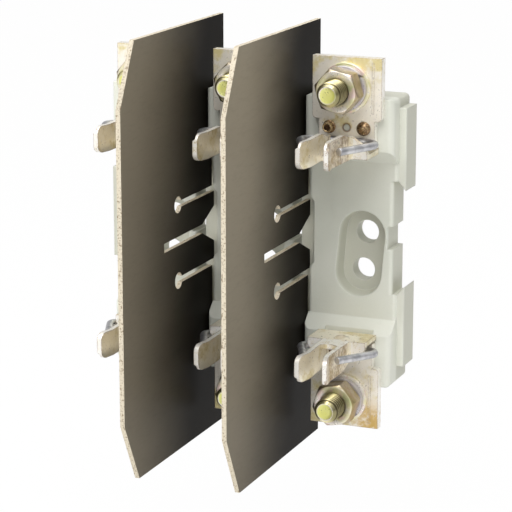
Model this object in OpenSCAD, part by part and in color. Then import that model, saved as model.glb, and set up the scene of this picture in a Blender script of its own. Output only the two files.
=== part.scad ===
// Three-pole fuse base for blade fuse-links: three moulded pole bases side by side,
// each with a sprung jaw contact and a threaded terminal at top and bottom,
// and a laminate barrier standing in each gap between the poles.
// X runs across the poles, -Y points to the front, Z is up along the fuse-link.
// The origin lies on the mounting plane, midway between the middle pole's mounting holes.

/* [Poles] */
// Distance from one pole's centre line to the next
pole_pitch = 34; // [33:0.5:38]
// Air left between touching pole bases
pole_joint_gap = 0.1; // [0.05:0.05:0.3]

/* [Pole base] */
// Height of the moulded base
base_h = 93.6; // [92:0.2:98]
// Depth from the mounting plane to the seat of the terminals
seat_depth = 15.25; // [14:0.25:18]
// Depth from the mounting plane to the channel between the seats
channel_depth = 10.5; // [9.5:0.25:12]
// Half the height of the channel between the seats, at its floor
channel_half = 25.6; // [24:0.2:27]
// Height of the slope from the channel up to each seat
channel_slope = 4.4; // [3:0.2:4.8]
// Radius of the long front edges of the seats
seat_edge_r = 2.2; // [1:0.2:3]
// Radius of the base's outer corners
base_corner_r = 1.6; // [0.8:0.2:3]
// How far the right wall steps in between the rails
wall_step = 1.5; // [0.8:0.1:2.2]
// Depth of the rails that meet the next pole
rail_depth = 9.6; // [8.6:0.2:10.2]
// Depth of the flange on the left side
flange_depth = 8; // [6:0.2:8.2]
// Height of the rails' and notches' middle above the base's middle
join_z = 1.3; // [0:0.1:2]
// From that middle to the near end of each rail
rail_near = 15.7; // [15.2:0.1:17]
// From that middle to the far end of each rail
rail_far = 42.2; // [41:0.1:42.6]
// How much further the rail's outer edge reaches than its root
rail_undercut = 2.9; // [1:0.1:3.5]
// Half the height of the notch in the left edge
edge_notch_half = 12; // [10:0.2:13]
// Depth of that notch into the left edge
edge_notch_in = 1.8; // [1:0.1:2.4]
// Height of the pocket in the right wall
side_pocket_h = 7.6; // [6:0.2:9]
// Depth of that pocket into the right wall
side_pocket_in = 1.7; // [1:0.1:2.5]
// Reach of the tongue between the next pole's rails, past the joint
tongue_reach = 1.8; // [1:0.1:2.4]
// Clearance between the tongue and those rails
tongue_clear = 0.4; // [0.3:0.1:0.8]
// Wall left round the cored-out rear pockets
core_wall = 3; // [2.4:0.2:4]

/* [Mounting holes] */
// Diameter of the mounting holes
mount_d = 7.5; // [5:0.1:7.8]
// Distance between a pole's two mounting holes
mount_pitch = 12.6; // [12:0.1:13.5]
// Lean of the row of holes from upright, in degrees
mount_lean = 5.5; // [0:0.5:7]
// Sideways place of the row's middle
mount_x = 2.2; // [0:0.1:2.6]
// Height of the row's middle
mount_z = -4.6; // [-5:0.1:0]
// Thickness of the base under the screw heads
mount_floor = 5; // [4:0.2:6]
// Width of the screw recess at its mouth
recess_w = 15.6; // [14.4:0.2:16]
// Length of the screw recess at its mouth
recess_l = 28.4; // [27.6:0.2:29]
// How much the recess narrows to its floor, on each side
recess_taper = 0.8; // [0.3:0.1:1.2]

/* [Terminals] */
// From one terminal's outer end to the other's
overall_h = 120; // [118:0.5:124]
// Width of the terminal
terminal_w = 23; // [21:0.5:24]
// Thickness of the terminal plate
plate_t = 3; // [2.6:0.1:3.4]
// From the terminal's outer end to its rounded shoulders' lower ends
plate_h = 19.9; // [19:0.1:21]
// Radius of the terminal plate's shoulders
shoulder_r = 1.2; // [0.6:0.1:2]
// Width of the plate's neck over the rivets
plate_neck_w = 18.6; // [17:0.2:19.4]
// How far the plate's neck ends above the shelf's near side
plate_neck_up = 2.6; // [2.4:0.1:3]
// From the terminal's outer end to its bolt
bolt_in = 9.5; // [9:0.1:10.5]
// Width of the pressed line beside the washer
pressed_line_w = 0.7; // [0.4:0.1:1]
// Depth of the pressed line
pressed_line_deep = 0.15; // [0.1:0.05:0.3]
// Length of the pressed line
pressed_line_l = 16; // [10:0.5:17]

/* [Jaw contacts] */
// Thickness of the contact's sheet
sheet_t = 1.6; // [1.2:0.1:2]
// Width of the contact's neck
neck_w = 19.4; // [19:0.2:20.6]
// Width of the contact's foot behind the terminal plate
foot_w = 16; // [15:0.2:17]
// From the base's middle to the foot's far end
foot_far = 42; // [41.4:0.1:42.4]
// Clearance round the foot in its recess
foot_clear = 0.2; // [0.1:0.05:0.4]
// Inside radius of the bends
bend_r = 0.8; // [0.5:0.1:1]
// From the base's middle to the near side of the jaws
jaw_near = 29.4; // [29:0.2:31]
// Height of the jaws
jaw_h = 8.5; // [8:0.1:10]
// Reach of the shelf in front of the seat
shelf_reach = 10.8; // [10:0.2:12]
// Reach of the jaws in front of the shelf
jaw_reach = 22.4; // [20:0.2:24]
// Gap between the jaws where they pinch the blade
pinch_gap = 5.2; // [5:0.1:5.6]
// Gap between the jaws at their roots
root_gap = 6; // [5.8:0.1:6.6]
// Gap between the jaws at their tips
mouth_gap = 7.6; // [7:0.1:9]
// From the pinch to the tips
flare_l = 6; // [5:0.2:7]
// Corner radius of the jaws' tips
tip_r = 2.4; // [1:0.2:3]
// Height of the wings beside the jaws, at the jaws
wing_h = 7; // [6:0.1:7.4]
// How much lower the wings are at their outer edges
wing_drop = 2.4; // [1.6:0.1:3]
// Length of the slope from the jaws' full height down to the wings
jaw_slope_l = 6; // [3:0.5:9]
// How far the wings narrow from the shelf to their outer corners
wing_taper = 1.6; // [1:0.1:2.4]
// Reach of the web between the jaws' roots, in front of the wings
web_reach = 7; // [4:0.2:9]
// Radius of the web's hollow front edge
web_r = 3.4; // [3:0.1:5]
// Width of the slot in the shelf
shelf_hole_w = 3; // [2:0.1:3.6]
// Length of the slot in the shelf
shelf_hole_l = 5; // [3.8:0.1:6]
// Distance from the mounting plane to the slot's middle
shelf_hole_deep = 22.5; // [21:0.1:23]

/* [Spring clips] */
// Diameter of the clip's wire
wire_d = 2.5; // [2:0.1:2.8]
// Width across the clip at its widest, wire middle to wire middle
clip_w = 24.4; // [23.4:0.1:25]
// Radius of the clip's rear corners
clip_r = 4.2; // [3.6:0.1:5]
// From the jaws' tips back to the clip's ends
clip_end_in = 8.4; // [7.4:0.1:9.6]
// Clearance between the clip and what it lies against
clip_clear = 0.08; // [0.05:0.01:0.15]

/* [Bolts, nuts and washers] */
// Thread diameter
thread_d = 8; // [7.6:0.1:8.4]
// Length of the bolt in front of the terminal
bolt_out = 17.5; // [16.5:0.5:20]
// Chamfer at the bolt's end
bolt_chamfer = 1.5; // [0.8:0.1:1.8]
// Width across flats of the nut and the bolt's head
hex_af = 13; // [12.6:0.1:13.4]
// Height of the bolt's head
head_h = 5.3; // [4.6:0.1:5.4]
// Height of the nut
nut_h = 6.5; // [6:0.1:7.5]
// Radial clearance between the nut and the bolt
thread_clear = 0.05; // [0.03:0.01:0.08]
// Diameter of the flat washer
washer_d = 16; // [15:0.2:17]
// Thickness of the flat washer
washer_t = 1.6; // [1.2:0.1:2]
// Diameter of the lock washer
lock_d = 14.4; // [13.6:0.2:14.8]
// Thickness of the lock washer
lock_t = 2; // [1.6:0.1:2.4]
// Width of the lock washer's cut
lock_cut = 0.9; // [0.5:0.1:1.4]
// Where the lock washer's cut came to rest, in degrees from the top
lock_cut_at = 55; // [0:5:355]
// Slant of the lock washer's cut, in degrees
lock_cut_slant = 25; // [0:1:35]
// Angle at which the nut came to rest, in degrees
nut_turn = 12; // [0:1:59]
// Depth of the nut's countersinks
nut_sink = 0.5; // [0.2:0.1:0.8]
// Clearance between the pieces of the stack
stack_gap = 0.05; // [0.03:0.01:0.1]

/* [Rivets] */
// Diameter of the rivets' shanks
rivet_d = 3.2; // [2.8:0.1:3.6]
// Depth to which the rivets' rear heads are sunk
rivet_sink = 2.6; // [2:0.1:3]
// Thickness of the rivets' rear heads
rivet_head_t = 1.2; // [0.8:0.1:1.6]
// Distance between a contact's two rivets
rivet_pitch = 11.4; // [10.8:0.2:12]
// From the base's middle to the upper contact's rivets
rivet_z = 37.7; // [37.5:0.1:37.9]
// Diameter of the domed rivet head
dome_d = 4.6; // [4.2:0.1:5]
// Height of the domed rivet head
dome_h = 1.9; // [1.4:0.1:2.2]
// How far the hollow rivet stands out
tube_out = 2.6; // [2:0.1:2.8]
// Diameter of the locating peg between the rivets
peg_d = 2; // [1.6:0.1:2.2]
// How much the lower rivets' flush heads widen over their shanks
flush_grow = 0.3; // [0.2:0.05:0.5]
// Clearance round a shank or peg in its hole
hole_clear = 0.1; // [0.05:0.01:0.15]

/* [Barriers] */
// Height of a barrier
barrier_h = 138; // [130:1:146]
// Distance from the mounting plane to a barrier's front edge
barrier_deep = 77; // [70:1:84]
// Thickness of the laminate
barrier_t = 1.6; // [1.2:0.1:2.4]
// Clearance between a barrier and the pole on its right
barrier_clear = 0.3; // [0.2:0.05:0.4]
// How far a barrier's middle stands to the right of the poles' joint
barrier_off = 0.4; // [0:0.1:0.6]
// Air between a barrier and the pole on its left
barrier_air = 2.1; // [1.5:0.1:2.6]
// Height of the cut-off front corners
corner_h = 19.8; // [14:0.2:24]
// Depth of the cut-off front corners
corner_deep = 10; // [6:0.2:14]
// Half the height of the opening behind the rails
ear_half = 44.2; // [44:0.1:46]
// Gap between a barrier and the rails behind it
barrier_seat_gap = 0.4; // [0.3:0.1:1]
// Distance from the middle to each keyhole slot
keyhole_z = 12.4; // [12:0.1:12.8]
// Width of the keyhole slots
keyhole_w = 2; // [1.6:0.1:2.4]
// Diameter of the keyhole slots' ends
keyhole_d = 5.3; // [4:0.1:5.6]
// Distance from the mounting plane to the keyholes' middles
keyhole_deep = 36.6; // [32:0.2:40]
// Width of the middle slot
slot_w = 2.9; // [2.2:0.1:3.4]
// Distance from the mounting plane to the middle slot's end
slot_deep = 47.2; // [42:0.2:52]
// Distance from the mounting plane to where the slot widens
mouth_deep = 17.8; // [16:0.2:20]
// Height of the slot's mouth between the fingers' tips
mouth_h = 11.6; // [9:0.2:13]
// Height of the middle slot above the barrier's middle
slot_z = 0.5; // [0:0.1:1]

/* [Hidden] */
$fn = 64;

// Overlap of cutting tools past the faces they cut
cut = 1;
// Half a pole's width, up to the joint with the next pole
pole_half = pole_pitch / 2 - pole_joint_gap / 2;
// The pole base's sides, measured from its centre line
base_left = pole_pitch / 2 - barrier_off - barrier_t / 2 - barrier_clear;
base_right = pole_pitch / 2 + barrier_off - barrier_t / 2 - barrier_air;
wall_right = base_right - wall_step;
base_half = base_h / 2;
seat_half = channel_half + channel_slope;
// Levels in front of the mounting plane
foot_back = seat_depth - sheet_t;
plate_front = seat_depth + plate_t;
shelf_front = seat_depth + shelf_reach;
jaw_front = shelf_front + jaw_reach;
pinch_front = jaw_front - flare_l;
bolt_front = plate_front + bolt_out;
washer_seat = plate_front + stack_gap;
lock_seat = washer_seat + washer_t + stack_gap;
nut_seat = lock_seat + lock_t + stack_gap;
// Heights above the base's middle
terminal_half = overall_h / 2;
bolt_z = terminal_half - bolt_in;
plate_low = terminal_half - plate_h;
jaw_mid = jaw_near + jaw_h / 2;
jaw_far = jaw_near + jaw_h;
// The lower contact's rivets lie behind its spring clip
lower_rivet_z = jaw_mid + 1;
// Hexagon's corner radius, and where its corners are bevelled off
hex_r = hex_af / 2 / cos(30);
chamfer_r = hex_af / 2 - 0.1;
nut_chamfer = 0.75;
bore_d = thread_d + 2 * thread_clear;
bolt_hole_d = thread_d + 0.6;
washer_bore_d = thread_d + 0.4;
lock_bore_d = thread_d + 0.3;
// The clip's wire runs over the plate's neck and round the jaws at their middle height
wire_r = wire_d / 2;
wire_sides = 12;
bend_steps = 9;
clip_back = plate_front + wire_r + clip_clear;
// Clearance round the bolt's head in its pocket
head_clear = 0.15;
// The rivets' rear heads and the bosses round them in the rear pockets
rivet_head_d = rivet_d + 2.2;
boss_d = rivet_head_d + 3;
// Thickness of the lower rivets' flush heads
flush_t = 0.8;
// Hollow rivet: its collar's width and thickness, its wall and how deep it is open
tube_collar = 0.5;
tube_wall = 0.7;
tube_deep = 1;
// Half the thickness of the rib in the middle of a rear pocket
rib_half = 1;
// Radius of the channel's long front edges
channel_edge_r = 1.2;

// Puts the children on the pole with the given place: -1 left, 0 middle, 1 right.
// Pieces are drawn about a pole's centre line, with the base's middle at height 0.
module at_pole(place) {
    translate([place * pole_pitch - mount_x, 0, -mount_z])
        children();
}

// Turns an upper piece into the matching lower one
module lower() {
    mirror([0, 0, 1])
        children();
}

// Extrudes an outline drawn in X and Z between two depths in front of the mounting plane
module front_slab(near, far) {
    translate([0, -near, 0])
        rotate([90, 0, 0])
            linear_extrude(far - near)
                children();
}

// Extrudes an outline drawn in Y and Z from one X to another
module side_slab(from, to) {
    translate([from, 0, 0])
        rotate([90, 0, 90])
            linear_extrude(to - from)
                children();
}

// Round bar or bore that runs forwards between two depths
module front_rod(x, z, near, far, d) {
    translate([x, -near, z])
        rotate([90, 0, 0])
            cylinder(h = far - near, d = d);
}

// Plan of a block whose two front edges are rounded
module rounded_plan(left, right, depth, r) {
    translate([left, r - depth])
        square([right - left, depth - r]);
    translate([left + r, -depth])
        square([right - left - 2 * r, depth]);
    for (x = [left + r, right - r])
        translate([x, r - depth])
            circle(r);
}

// Front outline of the base with rounded outer corners
module base_outline(left, right, half, r) {
    translate([left, r - half])
        square([right - left, 2 * (half - r)]);
    translate([left + r, -half])
        square([right - left - 2 * r, 2 * half]);
    for (x = [left + r, right - r], z = [r - half, half - r])
        translate([x, z])
            circle(r);
}

// Raised seat of the upper terminal with the slope down to the channel
module seat_block() {
    intersection() {
        translate([0, 0, channel_half])
            linear_extrude(base_half - channel_half)
                rounded_plan(-base_left, base_right, seat_depth, seat_edge_r);
        side_slab(-pole_pitch, pole_pitch)
            polygon([
                [cut, channel_half], [-channel_depth, channel_half], [-seat_depth, seat_half],
                [-seat_depth, base_half], [cut, base_half]
            ]);
        front_slab(-cut, seat_depth + cut)
            base_outline(-base_left, base_right, base_half, base_corner_r);
    }
}

// Rail beside the upper seat, undercut at its near end, drawn about the joining middle
module rail() {
    root = base_right - wall_step - 1;
    front_slab(0, rail_depth)
        polygon([
            [root, rail_near + rail_undercut], [base_right, rail_near + rail_undercut],
            [pole_half, rail_near], [pole_half, rail_far], [root, rail_far]
        ]);
}

// Body between the seats: narrow between the rails and full width beside them
module channel_block() {
    translate([0, 0, join_z - rail_near - rail_undercut - cut])
        linear_extrude(2 * (rail_near + rail_undercut + cut))
            rounded_plan(-base_left, wall_right, channel_depth, channel_edge_r);
    for (side = [-1, 1])
        translate([0, 0, side > 0 ? join_z + rail_near + rail_undercut : -base_half + base_corner_r])
            linear_extrude(base_half - base_corner_r - rail_near - rail_undercut - side * join_z)
                rounded_plan(-base_left, base_right, channel_depth, channel_edge_r);
}

// Flange along the left side, with a tongue that reaches between the next pole's rails
module left_flange() {
    tongue_half = rail_near - tongue_clear;
    tongue_end = pole_half + pole_joint_gap + tongue_reach;
    translate([-pole_half, -flange_depth, join_z - rail_far])
        cube([pole_half - base_left + cut, flange_depth, 2 * rail_far]);
    translate([-tongue_end, -flange_depth, join_z - tongue_half])
        cube([tongue_end - base_left, flange_depth, 2 * tongue_half]);
}

// Notch in the left front edge with sloped ends, and the pocket in the right wall
module side_cuts() {
    front_slab(flange_depth, channel_depth + cut)
        polygon([
            [-base_left - cut, join_z - edge_notch_half - 1],
            [-base_left + edge_notch_in, join_z - edge_notch_half + edge_notch_in],
            [-base_left + edge_notch_in, join_z + edge_notch_half - edge_notch_in],
            [-base_left - cut, join_z + edge_notch_half + 1]
        ]);
    translate([wall_right - side_pocket_in, -channel_depth - cut, join_z - side_pocket_h / 2])
        cube([side_pocket_in + cut, channel_depth + 2 * cut, side_pocket_h]);
}

// Leaning recess with tapered walls for the heads of the mounting screws
module screw_recess() {
    deep = channel_depth - mount_floor;
    straight = recess_l - recess_w;
    mouth_r = recess_w / 2;
    floor_r = mouth_r - recess_taper;
    grow = recess_taper * cut / deep;
    translate([mount_x, -mount_floor, mount_z])
        rotate([0, mount_lean, 0])
            rotate([90, 0, 0]) {
                for (side = [-1, 1])
                    translate([0, side * straight / 2, 0])
                        cylinder(h = deep + cut, r1 = floor_r, r2 = mouth_r + grow);
                translate([0, straight / 2, 0])
                    rotate([90, 0, 0])
                        linear_extrude(straight)
                            polygon([
                                [-floor_r, 0], [floor_r, 0],
                                [mouth_r + grow, deep + cut], [-mouth_r - grow, deep + cut]
                            ]);
            }
}

// The pair of mounting holes
module mount_holes() {
    for (side = [-1, 1])
        front_rod(
            mount_x + side * sin(mount_lean) * mount_pitch / 2,
            mount_z + side * cos(mount_lean) * mount_pitch / 2,
            -cut, mount_floor + cut, mount_d
        );
}

// Cored-out pocket behind the upper seat, with a middle rib and a boss round each rivet
module rear_core(boss_z) {
    core_low = join_z + rail_near + rail_undercut;
    core_high = bolt_z - hex_r - head_clear - 2;
    difference() {
        translate([-base_left + core_wall, -(channel_depth - core_wall), core_low])
            cube([base_left + base_right - 2 * core_wall, channel_depth - core_wall + cut, core_high - core_low]);
        translate([-rib_half, -channel_depth, core_low - cut])
            cube([2 * rib_half, channel_depth + 2 * cut, core_high - core_low + 2 * cut]);
        for (side = [-1, 1])
            front_rod(side * rivet_pitch / 2, boss_z, -2 * cut, channel_depth, boss_d);
    }
}

// Recess for the contact's foot, rivet holes with room for their rear heads, bolt head's pocket
module seat_cuts(holes_z) {
    foot_half = foot_w / 2 + foot_clear;
    translate([-foot_half, -seat_depth - cut, channel_half])
        cube([2 * foot_half, sheet_t + cut, foot_far + foot_clear - channel_half]);
    for (side = [-1, 1]) {
        front_rod(side * rivet_pitch / 2, holes_z, -cut, seat_depth + cut, rivet_d + 2 * hole_clear);
        front_rod(side * rivet_pitch / 2, holes_z, -cut, rivet_sink, rivet_head_d + 4 * hole_clear);
    }
    translate([-hex_af / 2 - head_clear, -seat_depth - cut, bolt_z - hex_r - head_clear])
        cube([hex_af + 2 * head_clear, head_h + head_clear + cut, hex_r + head_clear + bolt_in]);
}

module base() {
    color("gainsboro") {
        difference() {
            union() {
                seat_block();
                lower()
                    seat_block();
                translate([0, 0, join_z]) {
                    rail();
                    lower()
                        rail();
                }
                channel_block();
                left_flange();
            }
            side_cuts();
            screw_recess();
            mount_holes();
            rear_core(rivet_z);
            lower()
                rear_core(lower_rivet_z);
            seat_cuts(rivet_z);
            lower()
                seat_cuts(lower_rivet_z);
        }
        for (side = [0, 1])
            mirror([0, 0, side])
                front_rod(0, rivet_z, foot_back - cut, plate_front, peg_d);
    }
}

// Bent strip seen from the side: foot, shelf and the wings' upright
module strip_outline(wing_top) {
    outer = bend_r + sheet_t;
    front = shelf_front;
    difference() {
        union() {
            translate([-seat_depth, jaw_near + outer])
                square([sheet_t, foot_far - jaw_near - outer]);
            translate([-front + outer, jaw_near])
                square([front - foot_back - 2 * outer, sheet_t]);
            translate([-foot_back - outer, jaw_near + outer])
                circle(outer);
            translate([-front + outer, jaw_near + outer])
                circle(outer);
            translate([-front, jaw_near + outer])
                square([sheet_t, wing_top - jaw_near - outer]);
        }
        translate([-foot_back - outer, jaw_near + outer])
            circle(bend_r);
        translate([-front + outer, jaw_near + outer])
            circle(bend_r);
        translate([-front + sheet_t, jaw_near + outer])
            square([front - foot_back - 2 * sheet_t, foot_far]);
        translate([-front + outer, jaw_near + sheet_t])
            square([front - foot_back - 2 * outer, foot_far]);
    }
}

// Right wing and jaw seen from above: wing, round bend, pinch and flared tip
module jaw_plan() {
    root = root_gap / 2;
    pinch = pinch_gap / 2;
    mouth = mouth_gap / 2;
    outer = bend_r + sheet_t;
    // Middle of the round bend from the wing into the jaw
    bend = [root + outer, -shelf_front - bend_r];
    difference() {
        union() {
            translate([bend[0], -shelf_front])
                square([neck_w / 2 - bend[0], sheet_t]);
            intersection() {
                translate(bend)
                    circle(outer);
                translate([root, bend[1]])
                    square([outer, outer]);
            }
        }
        translate(bend)
            circle(bend_r);
    }
    polygon([
        [root, bend[1] + 0.01], [root + sheet_t, bend[1] + 0.01],
        [pinch + sheet_t, -pinch_front], [mouth + sheet_t, -jaw_front],
        [mouth, -jaw_front], [pinch, -pinch_front]
    ]);
}

// Side outline of the jaws, with a slope down to the wings
module jaw_side() {
    root_y = -shelf_front + cut + sheet_t;
    polygon([
        [root_y, jaw_near], [-jaw_front, jaw_near], [-jaw_front, jaw_far],
        [-shelf_front - jaw_slope_l, jaw_far], [-shelf_front - 1, jaw_near + wing_h], [root_y, jaw_near + wing_h]
    ]);
}

// Side outline that rounds the corners of the jaws' tips
module tip_rounding() {
    for (z = [jaw_near + tip_r, jaw_far - tip_r])
        translate([-jaw_front + tip_r, z])
            circle(tip_r);
    translate([-jaw_front + tip_r, jaw_near])
        square([jaw_reach - tip_r + 3 * cut, jaw_h]);
    translate([-jaw_front, jaw_near + tip_r])
        square([tip_r + cut, jaw_h - 2 * tip_r]);
}

// Web between the jaws' roots, with a hollow front edge
module web_plan() {
    difference() {
        translate([-root_gap / 2, -shelf_front - web_reach])
            square([root_gap, web_reach + bend_r + sheet_t]);
        translate([0, -shelf_front - web_reach - web_r / 2])
            circle(web_r);
    }
}

// Slot with round ends in the shelf
module shelf_slot() {
    straight = shelf_hole_l - shelf_hole_w;
    translate([0, -shelf_hole_deep, jaw_near - cut]) {
        for (side = [-1, 1])
            translate([0, side * straight / 2, 0])
                cylinder(h = sheet_t + 2 * cut, d = shelf_hole_w);
        translate([-shelf_hole_w / 2, -straight / 2, 0])
            cube([shelf_hole_w, straight, sheet_t + 2 * cut]);
    }
}

// Front outline of the wings: level below, falling to the sides above
module wing_outline() {
    top = jaw_near + wing_h;
    inner = root_gap / 2 + sheet_t;
    narrow = neck_w / 2 - wing_taper;
    bend_top = jaw_near + sheet_t + bend_r;
    polygon([
        [-neck_w / 2, jaw_near], [neck_w / 2, jaw_near], [neck_w / 2, bend_top],
        [narrow, top - wing_drop], [inner, top], [inner, jaw_far],
        [-inner, jaw_far], [-inner, top], [-narrow, top - wing_drop], [-neck_w / 2, bend_top]
    ]);
}

// Upper contact: riveted foot, shelf, two wings and two jaws, all from one sheet
module contact(rivets_at) {
    wing_top = jaw_near + wing_h;
    color("antiquewhite")
        difference() {
            union() {
                // Foot and rear bend, as wide as their recess in the base lets them be
                side_slab(-foot_w / 2, foot_w / 2)
                    intersection() {
                        strip_outline(wing_top);
                        translate([-shelf_hole_deep, jaw_near])
                            square([shelf_hole_deep, foot_far]);
                    }
                intersection() {
                    side_slab(-neck_w / 2, neck_w / 2)
                        strip_outline(wing_top);
                    front_slab(seat_depth + foot_clear, shelf_front + cut)
                        wing_outline();
                }
                intersection() {
                    for (side = [0, 1])
                        mirror([side, 0, 0])
                            translate([0, 0, jaw_near])
                                linear_extrude(jaw_h)
                                    jaw_plan();
                    side_slab(-neck_w, neck_w)
                        intersection() {
                            jaw_side();
                            tip_rounding();
                        }
                    front_slab(seat_depth, jaw_front + cut)
                        wing_outline();
                }
                translate([0, 0, jaw_near])
                    linear_extrude(sheet_t)
                        web_plan();
            }
            // The blade's way in between the jaws
            translate([-root_gap / 2, -shelf_front - cut, jaw_near + sheet_t])
                cube([root_gap, bend_r + sheet_t + cut, jaw_h]);
            for (side = [-1, 1])
                front_rod(side * rivet_pitch / 2, rivets_at, foot_back - cut, seat_depth + cut, rivet_d + 2 * hole_clear);
            front_rod(0, rivet_z, foot_back - cut, seat_depth + cut, peg_d + 2 * hole_clear);
            shelf_slot();
        }
}

// Front outline of the terminal plate: full width with rounded shoulders, then the neck
module plate_outline() {
    half = terminal_w / 2;
    translate([-half, plate_low + shoulder_r])
        square([terminal_w, plate_h - shoulder_r]);
    translate([-half + shoulder_r, plate_low])
        square([terminal_w - 2 * shoulder_r, plate_h]);
    for (side = [-1, 1])
        translate([side * (half - shoulder_r), plate_low + shoulder_r])
            circle(shoulder_r);
    translate([-plate_neck_w / 2, jaw_near + plate_neck_up])
        square([plate_neck_w, plate_low - jaw_near]);
}

// Terminal plate with its rivet, peg and bolt holes; flush rivets need them countersunk
module terminal_plate(rivets_at, flush) {
    line_x = terminal_w / 2 - 2.9;
    rivet_hole_d = rivet_d + 2 * hole_clear;
    color("wheat")
        difference() {
            front_slab(seat_depth, plate_front)
                plate_outline();
            front_rod(0, bolt_z, seat_depth - cut, plate_front + cut, bolt_hole_d);
            front_rod(0, rivet_z, seat_depth - cut, plate_front + cut, peg_d + 2 * hole_clear);
            for (side = [-1, 1]) {
                front_rod(side * rivet_pitch / 2, rivets_at, seat_depth - cut, plate_front + cut, rivet_hole_d);
                if (flush)
                    front_rod(side * rivet_pitch / 2, rivets_at, plate_front - flush_t, plate_front + cut, rivet_hole_d + 2 * flush_grow);
            }
            front_slab(plate_front - pressed_line_deep, plate_front + cut)
                translate([line_x - pressed_line_w / 2, bolt_z - pressed_line_l / 2])
                    square([pressed_line_w, pressed_line_l]);
        }
}

// Points of the wire's section at one station: [middle in plan, direction of travel]
function wire_ring(station) = [
    for (k = [0:wire_sides - 1])
        let (side = wire_r * cos(360 * k / wire_sides), rise = wire_r * sin(360 * k / wire_sides))
            [
                station[0][0] - sin(station[1]) * side,
                station[0][1] + cos(station[1]) * side,
                jaw_mid + rise
            ]
];

// Solid wire through the given stations, closed at both ends
module swept_wire(stations) {
    last = len(stations) - 1;
    polyhedron(
        points = [for (station = stations) each wire_ring(station)],
        faces = concat(
            [[for (k = [0:wire_sides - 1]) k]],
            [
                for (i = [0:last - 1], k = [0:wire_sides - 1])
                    let (next = (k + 1) % wire_sides, near = i * wire_sides, far = near + wire_sides)
                        [near + k, far + k, far + next, near + next]
            ],
            [[for (k = [wire_sides - 1:-1:0]) last * wire_sides + k]]
        )
    );
}

// Wire clip: straight rear run, and on each side a round corner and an arm that presses on the jaw
module spring_clip() {
    corner = [clip_w / 2 - clip_r, -clip_back - clip_r];
    end_y = -jaw_front + clip_end_in;
    lean = (root_gap - pinch_gap) / 2 / (pinch_front - shelf_front);
    face_x = pinch_gap / 2 + sheet_t + (end_y + pinch_front) * lean;
    end = [face_x + wire_r + clip_clear, end_y];
    span = norm(end - corner);
    touch = atan2(end[1] - corner[1], end[0] - corner[0]) + acos(clip_r / span);
    color("darkgray")
        swept_wire(concat(
            [[end, touch + 90]],
            [
                for (k = [0:bend_steps])
                    let (turn = touch + (90 - touch) * k / bend_steps)
                        [corner + clip_r * [cos(turn), sin(turn)], turn + 90]
            ],
            [
                for (k = [0:bend_steps])
                    let (turn = 90 + (90 - touch) * k / bend_steps)
                        [[-corner[0], corner[1]] + clip_r * [cos(turn), sin(turn)], turn + 90]
            ],
            [[[-end[0], end[1]], 270 - touch]]
        ));
}

// Upper rivets: domed on the right and hollow on the left, each with a rear head
module rivets() {
    color("rosybrown") {
        translate([rivet_pitch / 2, 0, rivet_z])
            rivet_body()
                domed_end();
        translate([-rivet_pitch / 2, 0, rivet_z])
            rivet_body()
                hollow_end();
    }
}

// Lower rivets: both flush with the plate, because the spring clip lies over them
module flush_rivets() {
    color("rosybrown")
        for (side = [-1, 1])
            translate([side * rivet_pitch / 2, 0, lower_rivet_z])
                rivet_body()
                    front_rod(0, 0, plate_front - flush_t, plate_front, rivet_d + 2 * flush_grow);
}

// Shank and rear head, joined with the front end that is given
module rivet_body() {
    rotate([90, 0, 0])
        rotate_extrude() {
            translate([0, rivet_sink - rivet_head_t])
                square([rivet_head_d / 2, rivet_head_t]);
            translate([0, rivet_sink - cut])
                square([rivet_d / 2, plate_front - rivet_sink + cut]);
        }
    children();
}

module domed_end() {
    ball_r = (pow(dome_d / 2, 2) + pow(dome_h, 2)) / (2 * dome_h);
    rotate([90, 0, 0])
        rotate_extrude()
            intersection() {
                translate([0, plate_front + dome_h - ball_r])
                    circle(ball_r);
                translate([0, plate_front])
                    square([dome_d, dome_h]);
            }
}

module hollow_end() {
    rotate([90, 0, 0])
        rotate_extrude() {
            translate([0, plate_front])
                square([rivet_d / 2 + tube_collar, tube_collar]);
            translate([0, plate_front])
                square([rivet_d / 2, tube_out - tube_deep]);
            translate([rivet_d / 2 - tube_wall, plate_front])
                square([tube_wall, tube_out]);
        }
}

// Hexagon head bolt from behind, held by the pocket in the base
module bolt() {
    color("goldenrod")
        translate([0, 0, bolt_z])
            rotate([90, 0, 0]) {
                intersection() {
                    translate([0, 0, seat_depth - head_h])
                        rotate([0, 0, 30])
                            cylinder(h = head_h, r = hex_r, $fn = 6);
                    translate([0, 0, seat_depth - head_h])
                        cylinder(h = head_h, r1 = hex_af / 2 - 0.2, r2 = hex_af / 2 - 0.2 + head_h);
                }
                bolt_shank(seat_depth - cut, bolt_front);
            }
}

// Bolt's shank with a chamfered end
module bolt_shank(near, far) {
    rotate_extrude()
        polygon([
            [0, near], [thread_d / 2, near], [thread_d / 2, far - bolt_chamfer],
            [thread_d / 2 - bolt_chamfer * 0.8, far], [0, far]
        ]);
}

module flat_washer() {
    color("khaki")
        difference() {
            front_rod(0, bolt_z, washer_seat, washer_seat + washer_t, washer_d);
            front_rod(0, bolt_z, washer_seat - cut, washer_seat + washer_t + cut, washer_bore_d);
        }
}

// Pressed-flat spring washer with its slanting cut
module lock_washer() {
    color("darkkhaki")
        difference() {
            front_rod(0, bolt_z, lock_seat, lock_seat + lock_t, lock_d);
            front_rod(0, bolt_z, lock_seat - cut, lock_seat + lock_t + cut, lock_bore_d);
            translate([0, -lock_seat - lock_t / 2, bolt_z])
                rotate([0, lock_cut_at, 0])
                    translate([0, 0, lock_d / 2])
                        rotate([0, 0, lock_cut_slant])
                            cube([lock_cut, 3 * lock_t, lock_d], center = true);
        }
}

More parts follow.
